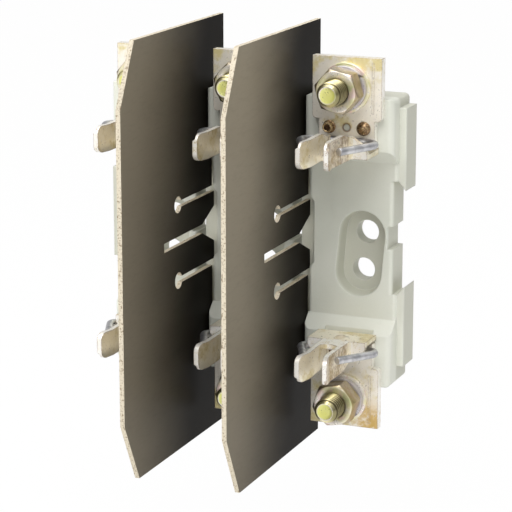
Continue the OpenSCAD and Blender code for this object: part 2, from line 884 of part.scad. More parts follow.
// Hexagon nut with chamfered corners and a countersunk bore
module nut() {
    color("gold")
        translate([0, -nut_seat, bolt_z])
            rotate([90, 0, 0])
                difference() {
                    intersection() {
                        rotate([0, 0, nut_turn])
                            cylinder(h = nut_h, r = hex_r, $fn = 6);
                        rotate_extrude()
                            polygon([
                                [0, 0], [chamfer_r, 0], [hex_r + 0.1, nut_chamfer],
                                [hex_r + 0.1, nut_h - nut_chamfer], [chamfer_r, nut_h], [0, nut_h]
                            ]);
                    }
                    translate([0, 0, -cut])
                        cylinder(h = nut_h + 2 * cut, d = bore_d);
                    translate([0, 0, nut_h - nut_sink])
                        cylinder(h = nut_sink + cut, d1 = bore_d, d2 = bore_d + 2 * (nut_sink + cut));
                }
}

// Laminate sheet with cut-off front corners, rear ears, keyhole slots and a forked middle slot
module phase_barrier() {
    half = barrier_h / 2;
    rail_stop = rail_depth + barrier_seat_gap;
    finger_end = flange_depth + barrier_seat_gap;
    color("saddlebrown")
        side_slab(barrier_off - barrier_t / 2, barrier_off + barrier_t / 2)
            difference() {
                polygon([
                    [0, -half], [-barrier_deep + corner_deep, -half], [-barrier_deep, -half + corner_h],
                    [-barrier_deep, half - corner_h], [-barrier_deep + corner_deep, half], [0, half],
                    [0, ear_half], [-rail_stop, ear_half], [-rail_stop, keyhole_z],
                    [-finger_end, keyhole_z], [-finger_end, -keyhole_z],
                    [-rail_stop, -keyhole_z], [-rail_stop, -ear_half], [0, -ear_half]
                ]);
                for (side = [-1, 1]) {
                    translate([-keyhole_deep, side * keyhole_z])
                        circle(d = keyhole_d);
                    translate([-keyhole_deep, side * keyhole_z - keyhole_w / 2])
                        square([keyhole_deep + cut, keyhole_w]);
                }
                translate([-slot_deep, slot_z - slot_w / 2])
                    square([slot_deep, slot_w]);
                polygon([
                    [-mouth_deep, slot_z - slot_w / 2], [-mouth_deep, slot_z + slot_w / 2],
                    [-finger_end, slot_z + mouth_h / 2], [-finger_end + cut, slot_z + mouth_h / 2],
                    [-finger_end + cut, slot_z - mouth_h / 2], [-finger_end, slot_z - mouth_h / 2]
                ]);
            }
}

at_pole(-1) base();  // left_base
at_pole(0) base();  // middle_base
at_pole(1) base();  // right_base
at_pole(-1) contact(rivet_z);  // left_upper_contact
at_pole(0) contact(rivet_z);  // middle_upper_contact
at_pole(1) contact(rivet_z);  // right_upper_contact
at_pole(-1) lower() contact(lower_rivet_z);  // left_lower_contact
at_pole(0) lower() contact(lower_rivet_z);  // middle_lower_contact
at_pole(1) lower() contact(lower_rivet_z);  // right_lower_contact
at_pole(-1) terminal_plate(rivet_z, false);  // left_upper_terminal_plate
at_pole(0) terminal_plate(rivet_z, false);  // middle_upper_terminal_plate
at_pole(1) terminal_plate(rivet_z, false);  // right_upper_terminal_plate
at_pole(-1) lower() terminal_plate(lower_rivet_z, true);  // left_lower_terminal_plate
at_pole(0) lower() terminal_plate(lower_rivet_z, true);  // middle_lower_terminal_plate
at_pole(1) lower() terminal_plate(lower_rivet_z, true);  // right_lower_terminal_plate
at_pole(-1) spring_clip();  // left_upper_spring_clip
at_pole(0) spring_clip();  // middle_upper_spring_clip
at_pole(1) spring_clip();  // right_upper_spring_clip
at_pole(-1) lower() spring_clip();  // left_lower_spring_clip
at_pole(0) lower() spring_clip();  // middle_lower_spring_clip
at_pole(1) lower() spring_clip();  // right_lower_spring_clip
at_pole(-1) rivets();  // left_upper_rivets
at_pole(0) rivets();  // middle_upper_rivets
at_pole(1) rivets();  // right_upper_rivets
at_pole(-1) lower() flush_rivets();  // left_lower_rivets
at_pole(0) lower() flush_rivets();  // middle_lower_rivets
at_pole(1) lower() flush_rivets();  // right_lower_rivets
at_pole(-1) bolt();  // left_upper_bolt
at_pole(0) bolt();  // middle_upper_bolt
at_pole(1) bolt();  // right_upper_bolt
at_pole(-1) lower() bolt();  // left_lower_bolt
at_pole(0) lower() bolt();  // middle_lower_bolt
at_pole(1) lower() bolt();  // right_lower_bolt
at_pole(-1) flat_washer();  // left_upper_flat_washer
at_pole(0) flat_washer();  // middle_upper_flat_washer
at_pole(1) flat_washer();  // right_upper_flat_washer
at_pole(-1) lower() flat_washer();  // left_lower_flat_washer
at_pole(0) lower() flat_washer();  // middle_lower_flat_washer
at_pole(1) lower() flat_washer();  // right_lower_flat_washer
at_pole(-1) lock_washer();  // left_upper_lock_washer
at_pole(0) lock_washer();  // middle_upper_lock_washer
at_pole(1) lock_washer();  // right_upper_lock_washer
at_pole(-1) lower() lock_washer();  // left_lower_lock_washer
at_pole(0) lower() lock_washer();  // middle_lower_lock_washer
at_pole(1) lower() lock_washer();  // right_lower_lock_washer
at_pole(-1) nut();  // left_upper_nut
at_pole(0) nut();  // middle_upper_nut
at_pole(1) nut();  // right_upper_nut
at_pole(-1) lower() nut();  // left_lower_nut
at_pole(0) lower() nut();  // middle_lower_nut
at_pole(1) lower() nut();  // right_lower_nut
at_pole(-0.5) phase_barrier();  // left_phase_barrier
at_pole(0.5) phase_barrier();  // right_phase_barrier
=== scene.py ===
"""Studio picture of a three-pole fuse base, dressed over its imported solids.

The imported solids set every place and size. Moulded and sheet-metal pieces are copies of their
solids, whose finishes round their edges, and the laminate copies have small bevels. Threads, nuts,
washers, rivets and wire are built from parametric surfaces. Each piece stands for one solid.
"""

import logging
import math
from dataclasses import dataclass, field
from enum import Enum
from typing import Iterable, Sequence

import bmesh
import bpy
import numpy as np
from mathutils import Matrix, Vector


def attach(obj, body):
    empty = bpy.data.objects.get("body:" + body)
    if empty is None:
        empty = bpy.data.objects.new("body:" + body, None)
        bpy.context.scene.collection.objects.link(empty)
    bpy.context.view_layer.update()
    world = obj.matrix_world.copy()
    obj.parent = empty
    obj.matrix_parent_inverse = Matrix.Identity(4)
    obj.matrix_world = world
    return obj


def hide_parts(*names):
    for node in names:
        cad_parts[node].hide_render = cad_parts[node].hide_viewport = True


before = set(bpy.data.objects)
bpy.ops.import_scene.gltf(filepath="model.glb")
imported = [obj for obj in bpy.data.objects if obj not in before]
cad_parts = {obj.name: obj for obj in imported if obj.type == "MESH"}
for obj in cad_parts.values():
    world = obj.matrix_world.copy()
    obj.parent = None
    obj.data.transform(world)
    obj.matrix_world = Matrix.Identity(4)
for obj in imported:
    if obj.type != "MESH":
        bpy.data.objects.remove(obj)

LOG = logging.getLogger("fuse_base")
MM = 0.001
ROOT_BODY = "pole_group"
POLE_PITCH = 34.0
ORIGIN_SHIFT = (-2.2, 4.6)
BOLT_HEIGHT = 50.5
RIVET_HEIGHT = 37.7
SHELF_FRONT = 26.05
Rgb = tuple[float, float, float]


class Pole(Enum):
    """The three poles, with their places along X in pole pitches."""

    LEFT = -1
    MIDDLE = 0
    RIGHT = 1

    @property
    def word(self) -> str:
        """The pole's word in node names."""
        return self.name.lower()


class End(Enum):
    """The two ends of a pole, with the sign of their height."""

    UPPER = 1
    LOWER = -1

    @property
    def word(self) -> str:
        """The end's word in node names."""
        return self.name.lower()


class Slot(Enum):
    """Material slots of the record."""

    MOULDING = "moulding"
    CONTACT = "contact_plating"
    TERMINAL = "terminal_plating"
    WIRE = "spring_wire"
    RIVET = "rivet_metal"
    ZINC = "yellow_zinc"
    LAMINATE = "laminate"


class Value:
    """A shader output that takes part in plain arithmetic."""

    def __init__(self, graph: "Graph", socket: bpy.types.NodeSocket) -> None:
        """Keeps the socket and the graph that it belongs to."""
        self.graph = graph
        self.socket = socket

    def _maths(self, kind: str, *values: "Value | float") -> "Value":
        """Makes one Math node of this kind in the value's own graph."""
        return self.graph.maths(kind, *values)

    def __add__(self, other: "Value | float") -> "Value":
        """Adds a value or number."""
        return self._maths("ADD", self, other)

    def __radd__(self, other: float) -> "Value":
        """Adds the value to a number."""
        return self._maths("ADD", other, self)

    def __sub__(self, other: "Value | float") -> "Value":
        """Takes a value or number away."""
        return self._maths("SUBTRACT", self, other)

    def __rsub__(self, other: float) -> "Value":
        """Takes the value away from a number."""
        return self._maths("SUBTRACT", other, self)

    def __mul__(self, other: "Value | float") -> "Value":
        """Multiplies by a value or number."""
        return self._maths("MULTIPLY", self, other)

    def __rmul__(self, other: float) -> "Value":
        """Multiplies a number by the value."""
        return self._maths("MULTIPLY", other, self)

    def __truediv__(self, other: "Value | float") -> "Value":
        """Divides by a value or number."""
        return self._maths("DIVIDE", self, other)

    def __rtruediv__(self, other: float) -> "Value":
        """Divides a number by the value."""
        return self._maths("DIVIDE", other, self)

    def __pow__(self, other: "Value | float") -> "Value":
        """Raises the value to a power."""
        return self._maths("POWER", self, other)

    def clamped(self) -> "Value":
        """Returns the value held between 0 and 1."""
        return self._maths("MINIMUM", self._maths("MAXIMUM", self, 0.0), 1.0)

    def step(self, low: float, high: float) -> "Value":
        """Ramps the value from 0 at low to 1 at high: the share of the way, squared, times 3 less twice it.

        Args:
            low: Input at which the ramp starts.
            high: Input at which the ramp ends.

        Returns:
            The smoothed ramp.
        """
        t = ((self - low) / (high - low)).clamped()
        return t * t * (3.0 - 2.0 * t)


class Graph:
    """The node tree of a material or world, written as arithmetic on values."""

    def __init__(self, owner: bpy.types.Material | bpy.types.World) -> None:
        """Empties the owner's node tree.

        Args:
            owner: The material or world that the nodes belong to.
        """
        self.owner = owner
        owner.use_nodes = True
        self.tree = owner.node_tree
        self.tree.nodes.clear()
        self._coords: Value | None = None

    @classmethod
    def named(cls, name: str) -> "Graph":
        """Returns the empty graph of a new material."""
        return cls(bpy.data.materials.new(name))

    def node(self, kind: str, settings: dict | None = None, **inputs: object) -> bpy.types.Node:
        """Makes one node, sets its options first and then its sockets.

        Args:
            kind: Node type name.
            settings: Option names and their values.
            **inputs: Socket names, with underscores for spaces, and values or links.

        Returns:
            The node.
        """
        made = self.tree.nodes.new(kind)
        for key, value in (settings or {}).items():
            setattr(made, key, value)
        for key, value in inputs.items():
            socket = made.inputs[key.replace("_", " ")]
            self.feed(socket, value)
        return made

    def feed(self, socket: bpy.types.NodeSocket, value: object) -> None:
        """Links a value to a socket, or sets the socket's own value."""
        if isinstance(value, Value):
            self.tree.links.new(value.socket, socket)
        elif isinstance(value, (tuple, list)) and len(value) == 3 and socket.type == "RGBA":
            socket.default_value = (*value, 1.0)
        else:
            socket.default_value = value

    def maths(self, kind: str, *values: Value | float) -> Value:
        """Makes one Math node.

        Args:
            kind: The operation.
            *values: What it works on, in order.

        Returns:
            The node's output.
        """
        made = self.node("ShaderNodeMath", {"operation": kind})
        for socket, value in zip(made.inputs, values):
            self.feed(socket, value)
        return Value(self, made.outputs[0])

    @property
    def coords(self) -> Value:
        """Object coordinates in millimetres."""
        if self._coords is None:
            raw = Value(self, self.node("ShaderNodeTexCoord").outputs["Object"])
            made = self.node("ShaderNodeVectorMath", {"operation": "SCALE"}, Vector=raw, Scale=1000.0)
            self._coords = Value(self, made.outputs[0])
        return self._coords

    def stretched(self, x: float, y: float, z: float) -> Value:
        """Scales the object coordinates along each axis.

        Args:
            x: Scale along X.
            y: Scale along Y.
            z: Scale along Z.

        Returns:
            The scaled coordinates.
        """
        made = self.node("ShaderNodeVectorMath", {"operation": "MULTIPLY"})
        self.feed(made.inputs[0], self.coords)
        made.inputs[1].default_value = (x, y, z)
        return Value(self, made.outputs[0])

    def axis(self, letter: str) -> Value:
        """Returns one object coordinate in millimetres."""
        split = self.node("ShaderNodeSeparateXYZ", Vector=self.coords)
        return Value(self, split.outputs[letter])

    @property
    def across(self) -> Value:
        """Distance to the right of the nearest pole's middle, in millimetres."""
        return self.maths("WRAP", self.axis("X") - ORIGIN_SHIFT[0], POLE_PITCH / 2, -POLE_PITCH / 2)

    def noise(self, scale: float, detail: float = 3.0, rough: float = 0.5, at: Value | None = None) -> Value:
        """Fractal noise.

        Args:
            scale: Features per millimetre.
            detail: Octaves.
            rough: Weight of the finer octaves.
            at: Coordinates, by default the object's.

        Returns:
            Noise from 0 to 1 around 0.5.
        """
        made = self.node(
            "ShaderNodeTexNoise", Vector=at or self.coords, Scale=scale, Detail=detail, Roughness=rough
        )
        return Value(self, made.outputs["Fac"])

    def attribute(self, name: str) -> Value:
        """Reads a number that the mesh carries."""
        return Value(self, self.node("ShaderNodeAttribute", {"attribute_name": name}).outputs["Fac"])

    def blend(self, factor: Value | float, first: Value | Rgb, second: Value | Rgb) -> Value:
        """Mixes two colours.

        Args:
            factor: Share of the second colour, from 0 to 1.
            first: The colour at 0.
            second: The colour at 1.

        Returns:
            The mixed colour.
        """
        made = self.node("ShaderNodeMix", {"data_type": "RGBA", "clamp_factor": True})
        self.feed(made.inputs[0], factor)
        self.feed(made.inputs[6], first)
        self.feed(made.inputs[7], second)
        return Value(self, made.outputs[2])

    def bump(self, height: Value, strength: float, distance_mm: float, over: Value | None = None) -> Value:
        """Turns a height into a normal.

        Args:
            height: The relief, from 0 to 1.
            strength: Share of the relief that shows.
            distance_mm: How high 1 stands, in millimetres.
            over: The normal under the relief, by default the surface's own.

        Returns:
            The bumped normal.
        """
        made = self.node("ShaderNodeBump", Height=height, Strength=strength, Distance=distance_mm * MM)
        if over is not None:
            self.feed(made.inputs["Normal"], over)
        return Value(self, made.outputs["Normal"])

    def rounded(self, radius_mm: float) -> Value:
        """Returns the normal of the surface with its edges rounded by a radius."""
        made = self.node("ShaderNodeBevel", {"samples": 6}, Radius=radius_mm * MM)
        return Value(self, made.outputs["Normal"])

    def edges(self, rounded: Value) -> Value:
        """Marks the edges that a rounded normal softens: five times 1 less both normals' dot product.

        Args:
            rounded: The rounded normal.

        Returns:
            1 along the edges and 0 on the faces between.
        """
        plain = Value(self, self.node("ShaderNodeNewGeometry").outputs["Normal"])
        made = self.node("ShaderNodeVectorMath", {"operation": "DOT_PRODUCT"})
        self.feed(made.inputs[0], rounded)
        self.feed(made.inputs[1], plain)
        return ((1.0 - Value(self, made.outputs["Value"])) * 5.0).clamped()

    def surface(self, **inputs: object) -> bpy.types.Material:
        """Ends the graph in one principled shader and returns the material."""
        return self.end(self.node("ShaderNodeBsdfPrincipled", **inputs), "ShaderNodeOutputMaterial")

    def end(self, shader: bpy.types.Node, kind: str) -> bpy.types.Material | bpy.types.World:
        """Links a shader to a new output node of the given kind and returns the owner."""
        self.tree.links.new(shader.outputs[0], self.node(kind).inputs["Surface"])
        return self.owner


def srgb(red: int, green: int, blue: int) -> Rgb:
    """Turns screen levels from 0 to 255 into a linear colour."""

    def linear(level: int) -> float:
        """Turns one level into linear light."""
        part = level / 255
        return part / 12.92 if part <= 0.04045 else ((part + 0.055) / 1.055) ** 2.4

    return linear(red), linear(green), linear(blue)


@dataclass(frozen=True)
class MouldedFinish:
    """Pale moulded thermoset with a faint flow pattern, dusty grain and painted shade in its deep recesses.
    """

    body: Rgb = srgb(227, 228, 217)
    cool: Rgb = srgb(220, 222, 210)
    worn: Rgb = srgb(240, 240, 232)
    dust: Rgb = srgb(202, 202, 188)
    roughness: float = 0.5
    channel_depth: float = 10.5
    edge_r: float = 0.6

    def material(self) -> bpy.types.Material:
        """Builds the finish's nodes.

        Returns:
            The node material.
        """
        g = Graph.named("moulded_thermoset")
        flow = g.noise(0.035, 3.0, 0.55).step(0.35, 0.65)
        grain = g.noise(1.6, 4.0, 0.6)
        soft = g.rounded(self.edge_r)
        edge = g.edges(soft)
        # painted shade: surfaces that lie deeper than the channel's face, in the recesses, are darkened
        # towards the dust colour
        deep = g.axis("Y").step(-self.channel_depth + 0.2, -self.channel_depth + 2.2)
        colour = g.blend(flow, self.body, self.cool)
        colour = g.blend((grain - 0.5).clamped() * 0.5 + deep * 0.9, colour, self.dust)
        colour = g.blend(edge * 0.5, colour, self.worn)
        rough = self.roughness + (grain - 0.5) * 0.16
        normal = g.bump(grain * 0.6 + g.noise(0.25, 2.0, 0.5), 0.10, 0.05, soft)
        return g.surface(Base_Color=colour, Roughness=rough, Normal=normal)


@dataclass(frozen=True)
class PlatedFinish:
    """Tin-plated copper sheet: silvery, with yellow tarnish and brown stains, a painted highlight along its
    edges and cut faces, and, on contacts, painted shade with brown spots on the right jaw.
    """

    name: str
    silver: Rgb
    tarnish: Rgb
    copper: Rgb
    bright: Rgb = srgb(252, 249, 243)
    tarnish_low: float = 0.5
    wear: float = 0.5
    pale_edge: float = 0.9
    outer_tarnish: float = 0.0
    metal: float = 0.5
    edge_r: float = 0.25
    stain_r: float = 0.5
    stain: float = 0.75
    peg_ring: float = 0.0
    peg_height: float = RIVET_HEIGHT
    jaw_stain: float = 0.0
    gold: Rgb = srgb(208, 170, 92)
    gold_corner: float = 0.0

    def material(self) -> bpy.types.Material:
        """Builds the finish's nodes.

        Returns:
            The node material.
        """
        g = Graph.named(self.name)
        cloud = g.noise(0.13, 4.0, 0.6)
        fine = g.noise(0.75, 5.0, 0.65)
        grit = g.noise(2.4, 4.0, 0.7)
        drawn = g.noise(1.3, 3.0, 0.6, at=g.stretched(1.0, 0.4, 0.12))
        outward = g.maths("ABSOLUTE", g.axis("Z") - ORIGIN_SHIFT[1])
        outer = outward.step(48.0, 62.0) * self.outer_tarnish
        patches = (cloud * 0.75 + fine * 0.25 + outer).step(self.tarnish_low, self.tarnish_low + 0.14)
        worn = (cloud * 0.4 + fine * 0.6).step(0.50, 0.62) * (1.0 - patches)
        specks = (fine * 0.5 + grit * 0.5).step(0.57, 0.66)
        soft = g.rounded(self.edge_r)
        rim = g.edges(soft)
        edge = (rim * 0.8 + g.attribute("cut_edge")).clamped()
        stain = g.edges(g.rounded(self.stain_r)) * (fine * 0.6 + grit * 0.4).step(0.34, 0.52)
        # partly painted shade: the right jaw's front part is browned evenly, with real brown spots on top
        jaw = g.axis("Y").step(-27.0, -30.0) * g.across.step(1.5, 4.5)
        jaw_spots_and_shade = jaw * (0.3 + (fine * 0.6 + cloud * 0.4).step(0.46, 0.58) * 0.5) * self.jaw_stain
        below = (ORIGIN_SHIFT[1] - g.axis("Z")).step(48.0, 57.0)
        golden = (cloud * 0.7 + fine * 0.3).step(0.36, 0.52) * self.gold_corner
        corner = below * g.across.step(0.5, 6.5) * golden
        colour = g.blend(patches, self.silver, self.tarnish)
        colour = g.blend(worn * 0.8, colour, self.bright)
        colour = g.blend(specks * self.wear, colour, self.copper)
        colour = g.blend(corner, colour, self.gold)
        colour = g.blend(jaw_spots_and_shade, colour, self.copper)
        # painted highlight: the rounded edges and cut faces are whitened, less where chipped
        chipped = (grit * 0.5 + fine * 0.5).step(0.50, 0.60)
        colour = g.blend(edge * (1.0 - chipped * 0.8) * self.pale_edge, colour, self.bright)
        colour = g.blend(stain * self.stain, colour, self.copper)
        from_peg = (g.across ** 2.0 + (outward - self.peg_height) ** 2.0) ** 0.5
        ring = (1.0 - from_peg.step(1.25, 1.75)) * self.peg_ring
        colour = g.blend(ring, colour, self.copper)
        colour = g.blend((drawn - 0.5).clamped() * 0.5, colour, self.bright)
        rough = (0.32 + patches * 0.12 + specks * 0.2 + (fine - 0.5) * 0.3).clamped()
        normal = g.bump(fine * 0.7 + drawn * 0.4 + grit * 0.15, 0.22, 0.05, soft)
        metal = self.metal - specks * 0.2
        return g.surface(Base_Color=colour, Roughness=rough, Metallic=metal, Normal=normal)


@dataclass(frozen=True)
class ZincFinish:
    """Yellow-passivated zinc: silvery, with straw, olive and rosy clouds."""

    straw: Rgb = srgb(236, 228, 188)
    olive: Rgb = srgb(210, 214, 158)
    rose: Rgb = srgb(236, 206, 204)
    silver: Rgb = srgb(246, 240, 230)
    grease: Rgb = srgb(44, 32, 14)
    thread: Rgb = srgb(236, 226, 164)
    tip: Rgb = srgb(236, 236, 132)
    flank: Rgb = srgb(146, 124, 82)
    steel: Rgb = srgb(190, 186, 192)

    def material(self) -> bpy.types.Material:
        """Builds the finish's nodes.

        Returns:
            The node material.
        """
        g = Graph.named("yellow_zinc")
        hue = g.noise(0.22, 3.0, 0.55)
        other = g.noise(0.31, 2.0, 0.5, at=g.stretched(1.0, 1.7, 0.8))
        fine = g.noise(2.2, 4.0, 0.6)
        colour = g.blend(hue.step(0.40, 0.60), self.silver, self.straw)
        colour = g.blend(hue.step(0.56, 0.70) * 0.8, colour, self.olive)
        colour = g.blend(other.step(0.52, 0.66) * 0.7, colour, self.rose)
        thread, flank = g.attribute("thread"), g.attribute("flank")
        colour = g.blend(g.attribute("lock") * 0.85, colour, self.steel)
        colour = g.blend(thread * 0.85, colour, self.thread)
        colour = g.blend(flank * (0.3 + hue * 0.8), colour, self.flank)
        # painted dark reflection: the right side of the threaded shank is darkened
        right_dark_reflection = g.across.step(0.2, 3.2) * thread * 0.7
        # painted shade: the thread's grooves, and the right side of the shank, are darkened
        colour = g.blend((g.attribute("groove") + right_dark_reflection).clamped() * 0.92, colour, self.grease)
        colour = g.blend(g.attribute("tip") * (0.7 + hue * 0.4), colour, self.tip)
        rough = (0.26 + (fine - 0.5) * 0.10 + hue * 0.06).clamped()
        metal = 0.6 + (thread + flank).clamped() * 0.3
        return g.surface(Base_Color=colour, Roughness=rough, Metallic=metal, Normal=g.bump(fine, 0.05, 0.02))


@dataclass(frozen=True)
class WireFinish:
    """Zinc-plated spring wire, drawn lengthways."""

    light: Rgb = srgb(214, 214, 216)
    dark: Rgb = srgb(170, 170, 174)
    cut: Rgb = srgb(205, 205, 206)

    def material(self) -> bpy.types.Material:
        """Builds the finish's nodes.

        Returns:
            The node material.
        """
        g = Graph.named("spring_wire")
        cloud = g.noise(0.3, 3.0, 0.5)
        fine = g.noise(3.0, 4.0, 0.6)
        colour = g.blend(cloud.step(0.35, 0.65), self.light, self.dark)
        colour = g.blend(g.attribute("cut_end"), colour, self.cut)
        rough = (0.38 + (fine - 0.5) * 0.3).clamped()
        return g.surface(
            Base_Color=colour, Roughness=rough, Metallic=0.85, Normal=g.bump(fine + cloud, 0.15, 0.04)
        )


@dataclass(frozen=True)
class RivetFinish:
    """Browned brass rivets with bright rubbed rims."""

    brown: Rgb = srgb(138, 112, 84)
    rim: Rgb = srgb(206, 182, 140)
    hollow: Rgb = srgb(82, 60, 42)

    def material(self) -> bpy.types.Material:
        """Builds the finish's nodes.

        Returns:
            The node material.
        """
        g = Graph.named("rivet_metal")
        fine = g.noise(1.3, 4.0, 0.65)
        colour = g.blend(fine.step(0.48, 0.68), self.brown, self.rim)
        colour = g.blend(g.attribute("rim") * 0.8, colour, self.rim)
        colour = g.blend(g.attribute("groove"), colour, self.hollow)
        rough = (0.27 + (fine - 0.5) * 0.3).clamped()
        return g.surface(Base_Color=colour, Roughness=rough, Metallic=0.85, Normal=g.bump(fine, 0.3, 0.08))


@dataclass(frozen=True)
class LaminateFinish:
    """Dark brown resin laminate with pale speckled cut edges; a painted sheen pales its face towards the
    front and top, and painted shade darkens it towards the rear.
    """

    face: Rgb = srgb(22, 18, 13)
    fibre: Rgb = srgb(44, 38, 29)
    front: Rgb = srgb(148, 139, 122)
    edge: Rgb = srgb(214, 204, 184)
    edge_dark: Rgb = srgb(134, 116, 92)
    front_y: float = -77.0
    rear_y: float = 0.0

    def material(self) -> bpy.types.Material:
        """Builds the finish's nodes.

        Returns:
            The node material.
        """
        g = Graph.named("resin_laminate")
        cloud = g.noise(0.03, 3.0, 0.55, at=g.stretched(1.0, 0.5, 1.2))
        fibre = g.noise(0.9, 3.0, 0.6, at=g.stretched(1.0, 0.25, 1.0))
        speck = g.noise(1.6, 4.0, 0.7)
        layers = g.noise(1.0, 2.0, 0.5, at=g.stretched(2.6, 0.25, 0.25))
        cut = g.attribute("cut_edge")
        height = g.axis("Z")
        # painted sheen and shade: the face blends to the pale front colour near its front edge and top, and
        # stays dark towards the rear
        inward = (g.axis("Y") - self.front_y) / (self.rear_y - self.front_y) - height * 0.0012
        front_sheen = 1.0 - (inward + (cloud - 0.5) * 0.2).step(0.06, 0.76)
        face = g.blend(front_sheen * (0.84 + height * 0.0026), self.face, self.front)
        face = g.blend((fibre - 0.5).clamped() * 0.3, face, self.fibre)
        edge = g.blend((speck * 0.75 + layers * 0.25).step(0.50, 0.64), self.edge, self.edge_dark)
        colour = g.blend(cut, face, edge)
        rough = (0.34 + cloud * 0.1 + cut * 0.35 + (fibre - 0.5) * 0.08).clamped()
        normal = g.bump(cloud * 2.0 + fibre * 0.1 + speck * cut, 0.12, 0.12)
        return g.surface(Base_Color=colour, Roughness=rough, Normal=normal, Specular_IOR_Level=0.03)


@dataclass
class Surface:
    """A grid of points, closed round its columns and, where asked, round its rows too."""

    points: np.ndarray
    close_rows: bool = False
    close_columns: bool = True
    cap_start: bool = False
    cap_end: bool = False
    marks: dict[str, np.ndarray] = field(default_factory=dict)

    def faces(self) -> list[tuple[int, ...]]:
        """Joins each point of the grid to its neighbours in the next column and the next row.

        Returns:
            The faces as tuples of point numbers.
        """
        rows, columns = self.points.shape[:2]
        last_row = rows if self.close_rows else rows - 1
        last_column = columns if self.close_columns else columns - 1
        i, j = np.meshgrid(np.arange(last_row), np.arange(last_column), indexing="ij")
        near, far = i * columns, ((i + 1) % rows) * columns
        following = (j + 1) % columns
        quads = np.stack([near + j, near + following, far + following, far + j], -1).reshape(-1, 4)
        made = [tuple(q) for q in quads.tolist()]
        if self.cap_start:
            made.append(tuple(range(columns - 1, -1, -1)))
        if self.cap_end:
            made.append(tuple((rows - 1) * columns + k for k in range(columns)))
        return made


def build_object(name: str, surfaces: Iterable[Surface], sharp_deg: float = 40.0) -> bpy.types.Object:
    """Makes one object of several surfaces, in millimetres.

    Args:
        name: The object's name.
        surfaces: The surfaces that it is made of.
        sharp_deg: Edges that turn by more than this many degrees stay sharp.

    Returns:
        The linked object, with one number per point for each mark.
    """
    surfaces = list(surfaces)
    points, faces, start = [], [], 0
    names = sorted({key for s in surfaces for key in s.marks})
    marks: dict[str, list[np.ndarray]] = {key: [] for key in names}
    for s in surfaces:
        flat = s.points.reshape(-1, 3)
        points.append(flat)
        faces += [tuple(start + k for k in f) for f in s.faces()]
        for key in names:
            level = s.marks.get(key, np.zeros(s.points.shape[:2]))
            marks[key].append(np.broadcast_to(level, s.points.shape[:2]).reshape(-1))
        start += len(flat)
    mesh = bpy.data.meshes.new(name)
    mesh.from_pydata((np.concatenate(points) * MM).tolist(), [], faces)
    for key in names:
        layer = mesh.attributes.new(key, "FLOAT", "POINT")
        layer.data.foreach_set("value", np.concatenate(marks[key]).astype(np.float32))
    work = bmesh.new()
    work.from_mesh(mesh)
    bmesh.ops.recalc_face_normals(work, faces=work.faces)
    set_shading(work, sharp_deg)
    work.to_mesh(mesh)
    work.free()
    made = bpy.data.objects.new(name, mesh)
    bpy.context.scene.collection.objects.link(made)
    return made


def set_shading(work: bmesh.types.BMesh, sharp_deg: float) -> None:
    """Smooths every face and keeps the sharp edges.

    Args:
        work: The mesh.
        sharp_deg: Edges that turn by more than this many degrees stay sharp.
    """
    limit = math.radians(sharp_deg)
    for face in work.faces:
        face.smooth = True
    for edge in work.edges:
        edge.smooth = len(edge.link_faces) == 2 and edge.calc_face_angle(math.pi) < limit


def circle(columns: int) -> np.ndarray:
    """Returns evenly spaced angles from 0 round a whole turn, in radians."""
    return np.linspace(0, 2 * math.pi, columns, endpoint=False)


def round_axis(
    radius: np.ndarray, angle: np.ndarray, depth: np.ndarray, centre: tuple[float, float]
) -> np.ndarray:
    """Places points round an axis that runs to the front.

    X is the centre's plus radius times the angle's cosine, Z the centre's plus radius times its
    sine, and Y is the depth with a minus sign.

    Args:
        radius: Distances from the axis.
        angle: Angles from +X towards +Z, in radians.
        depth: Distances in front of the mounting plane.
        centre: The axis's X and Z.

    Returns:
        Points of shape (rows, columns, 3).
    """
    x = centre[0] + radius * np.cos(angle)
    z = centre[1] + radius * np.sin(angle)
    return np.stack([x, np.broadcast_to(-depth, x.shape), z], -1)


def turned(
    profile: Sequence[tuple[float, float]], centre: tuple[float, float], columns: int,
    outline: np.ndarray | float = 1.0,
) -> np.ndarray:
    """Turns a profile about an axis that runs to the front.

    Each profile point goes round the axis at its own radius times the outline's at that angle.

    Args:
        profile: Pairs of radius and distance in front of the mounting plane.
        centre: The axis's X and Z.
        columns: Points round the axis.
        outline: Radius of the outline at each angle, by default a circle's.

    Returns:
        Points of shape (rows, columns, 3).
    """
    radius, depth = np.array(profile).T[..., None]
    return round_axis(radius * outline, circle(columns), depth, centre)


def bevel_edges(work: bmesh.types.BMesh, width_mm: float) -> None:
    """Makes flat faces whole again and bevels every edge that turns by more than 28 degrees.

    Args:
        work: The mesh.
        width_mm: Width of the bevels.
    """
    bmesh.ops.dissolve_limit(
        work, angle_limit=math.radians(0.4), verts=work.verts, edges=work.edges, use_dissolve_boundaries=False
    )
    turn = math.radians(28)
    sharp = [e for e in work.edges if len(e.link_faces) == 2 and e.calc_face_angle(0.0) > turn]
    bmesh.ops.bevel(
        work, geom=sharp, offset=width_mm * MM, offset_type="OFFSET", segments=2, profile=0.5,
        affect="EDGES", clamp_overlap=True, miter_outer="ARC", harden_normals=False,
    )


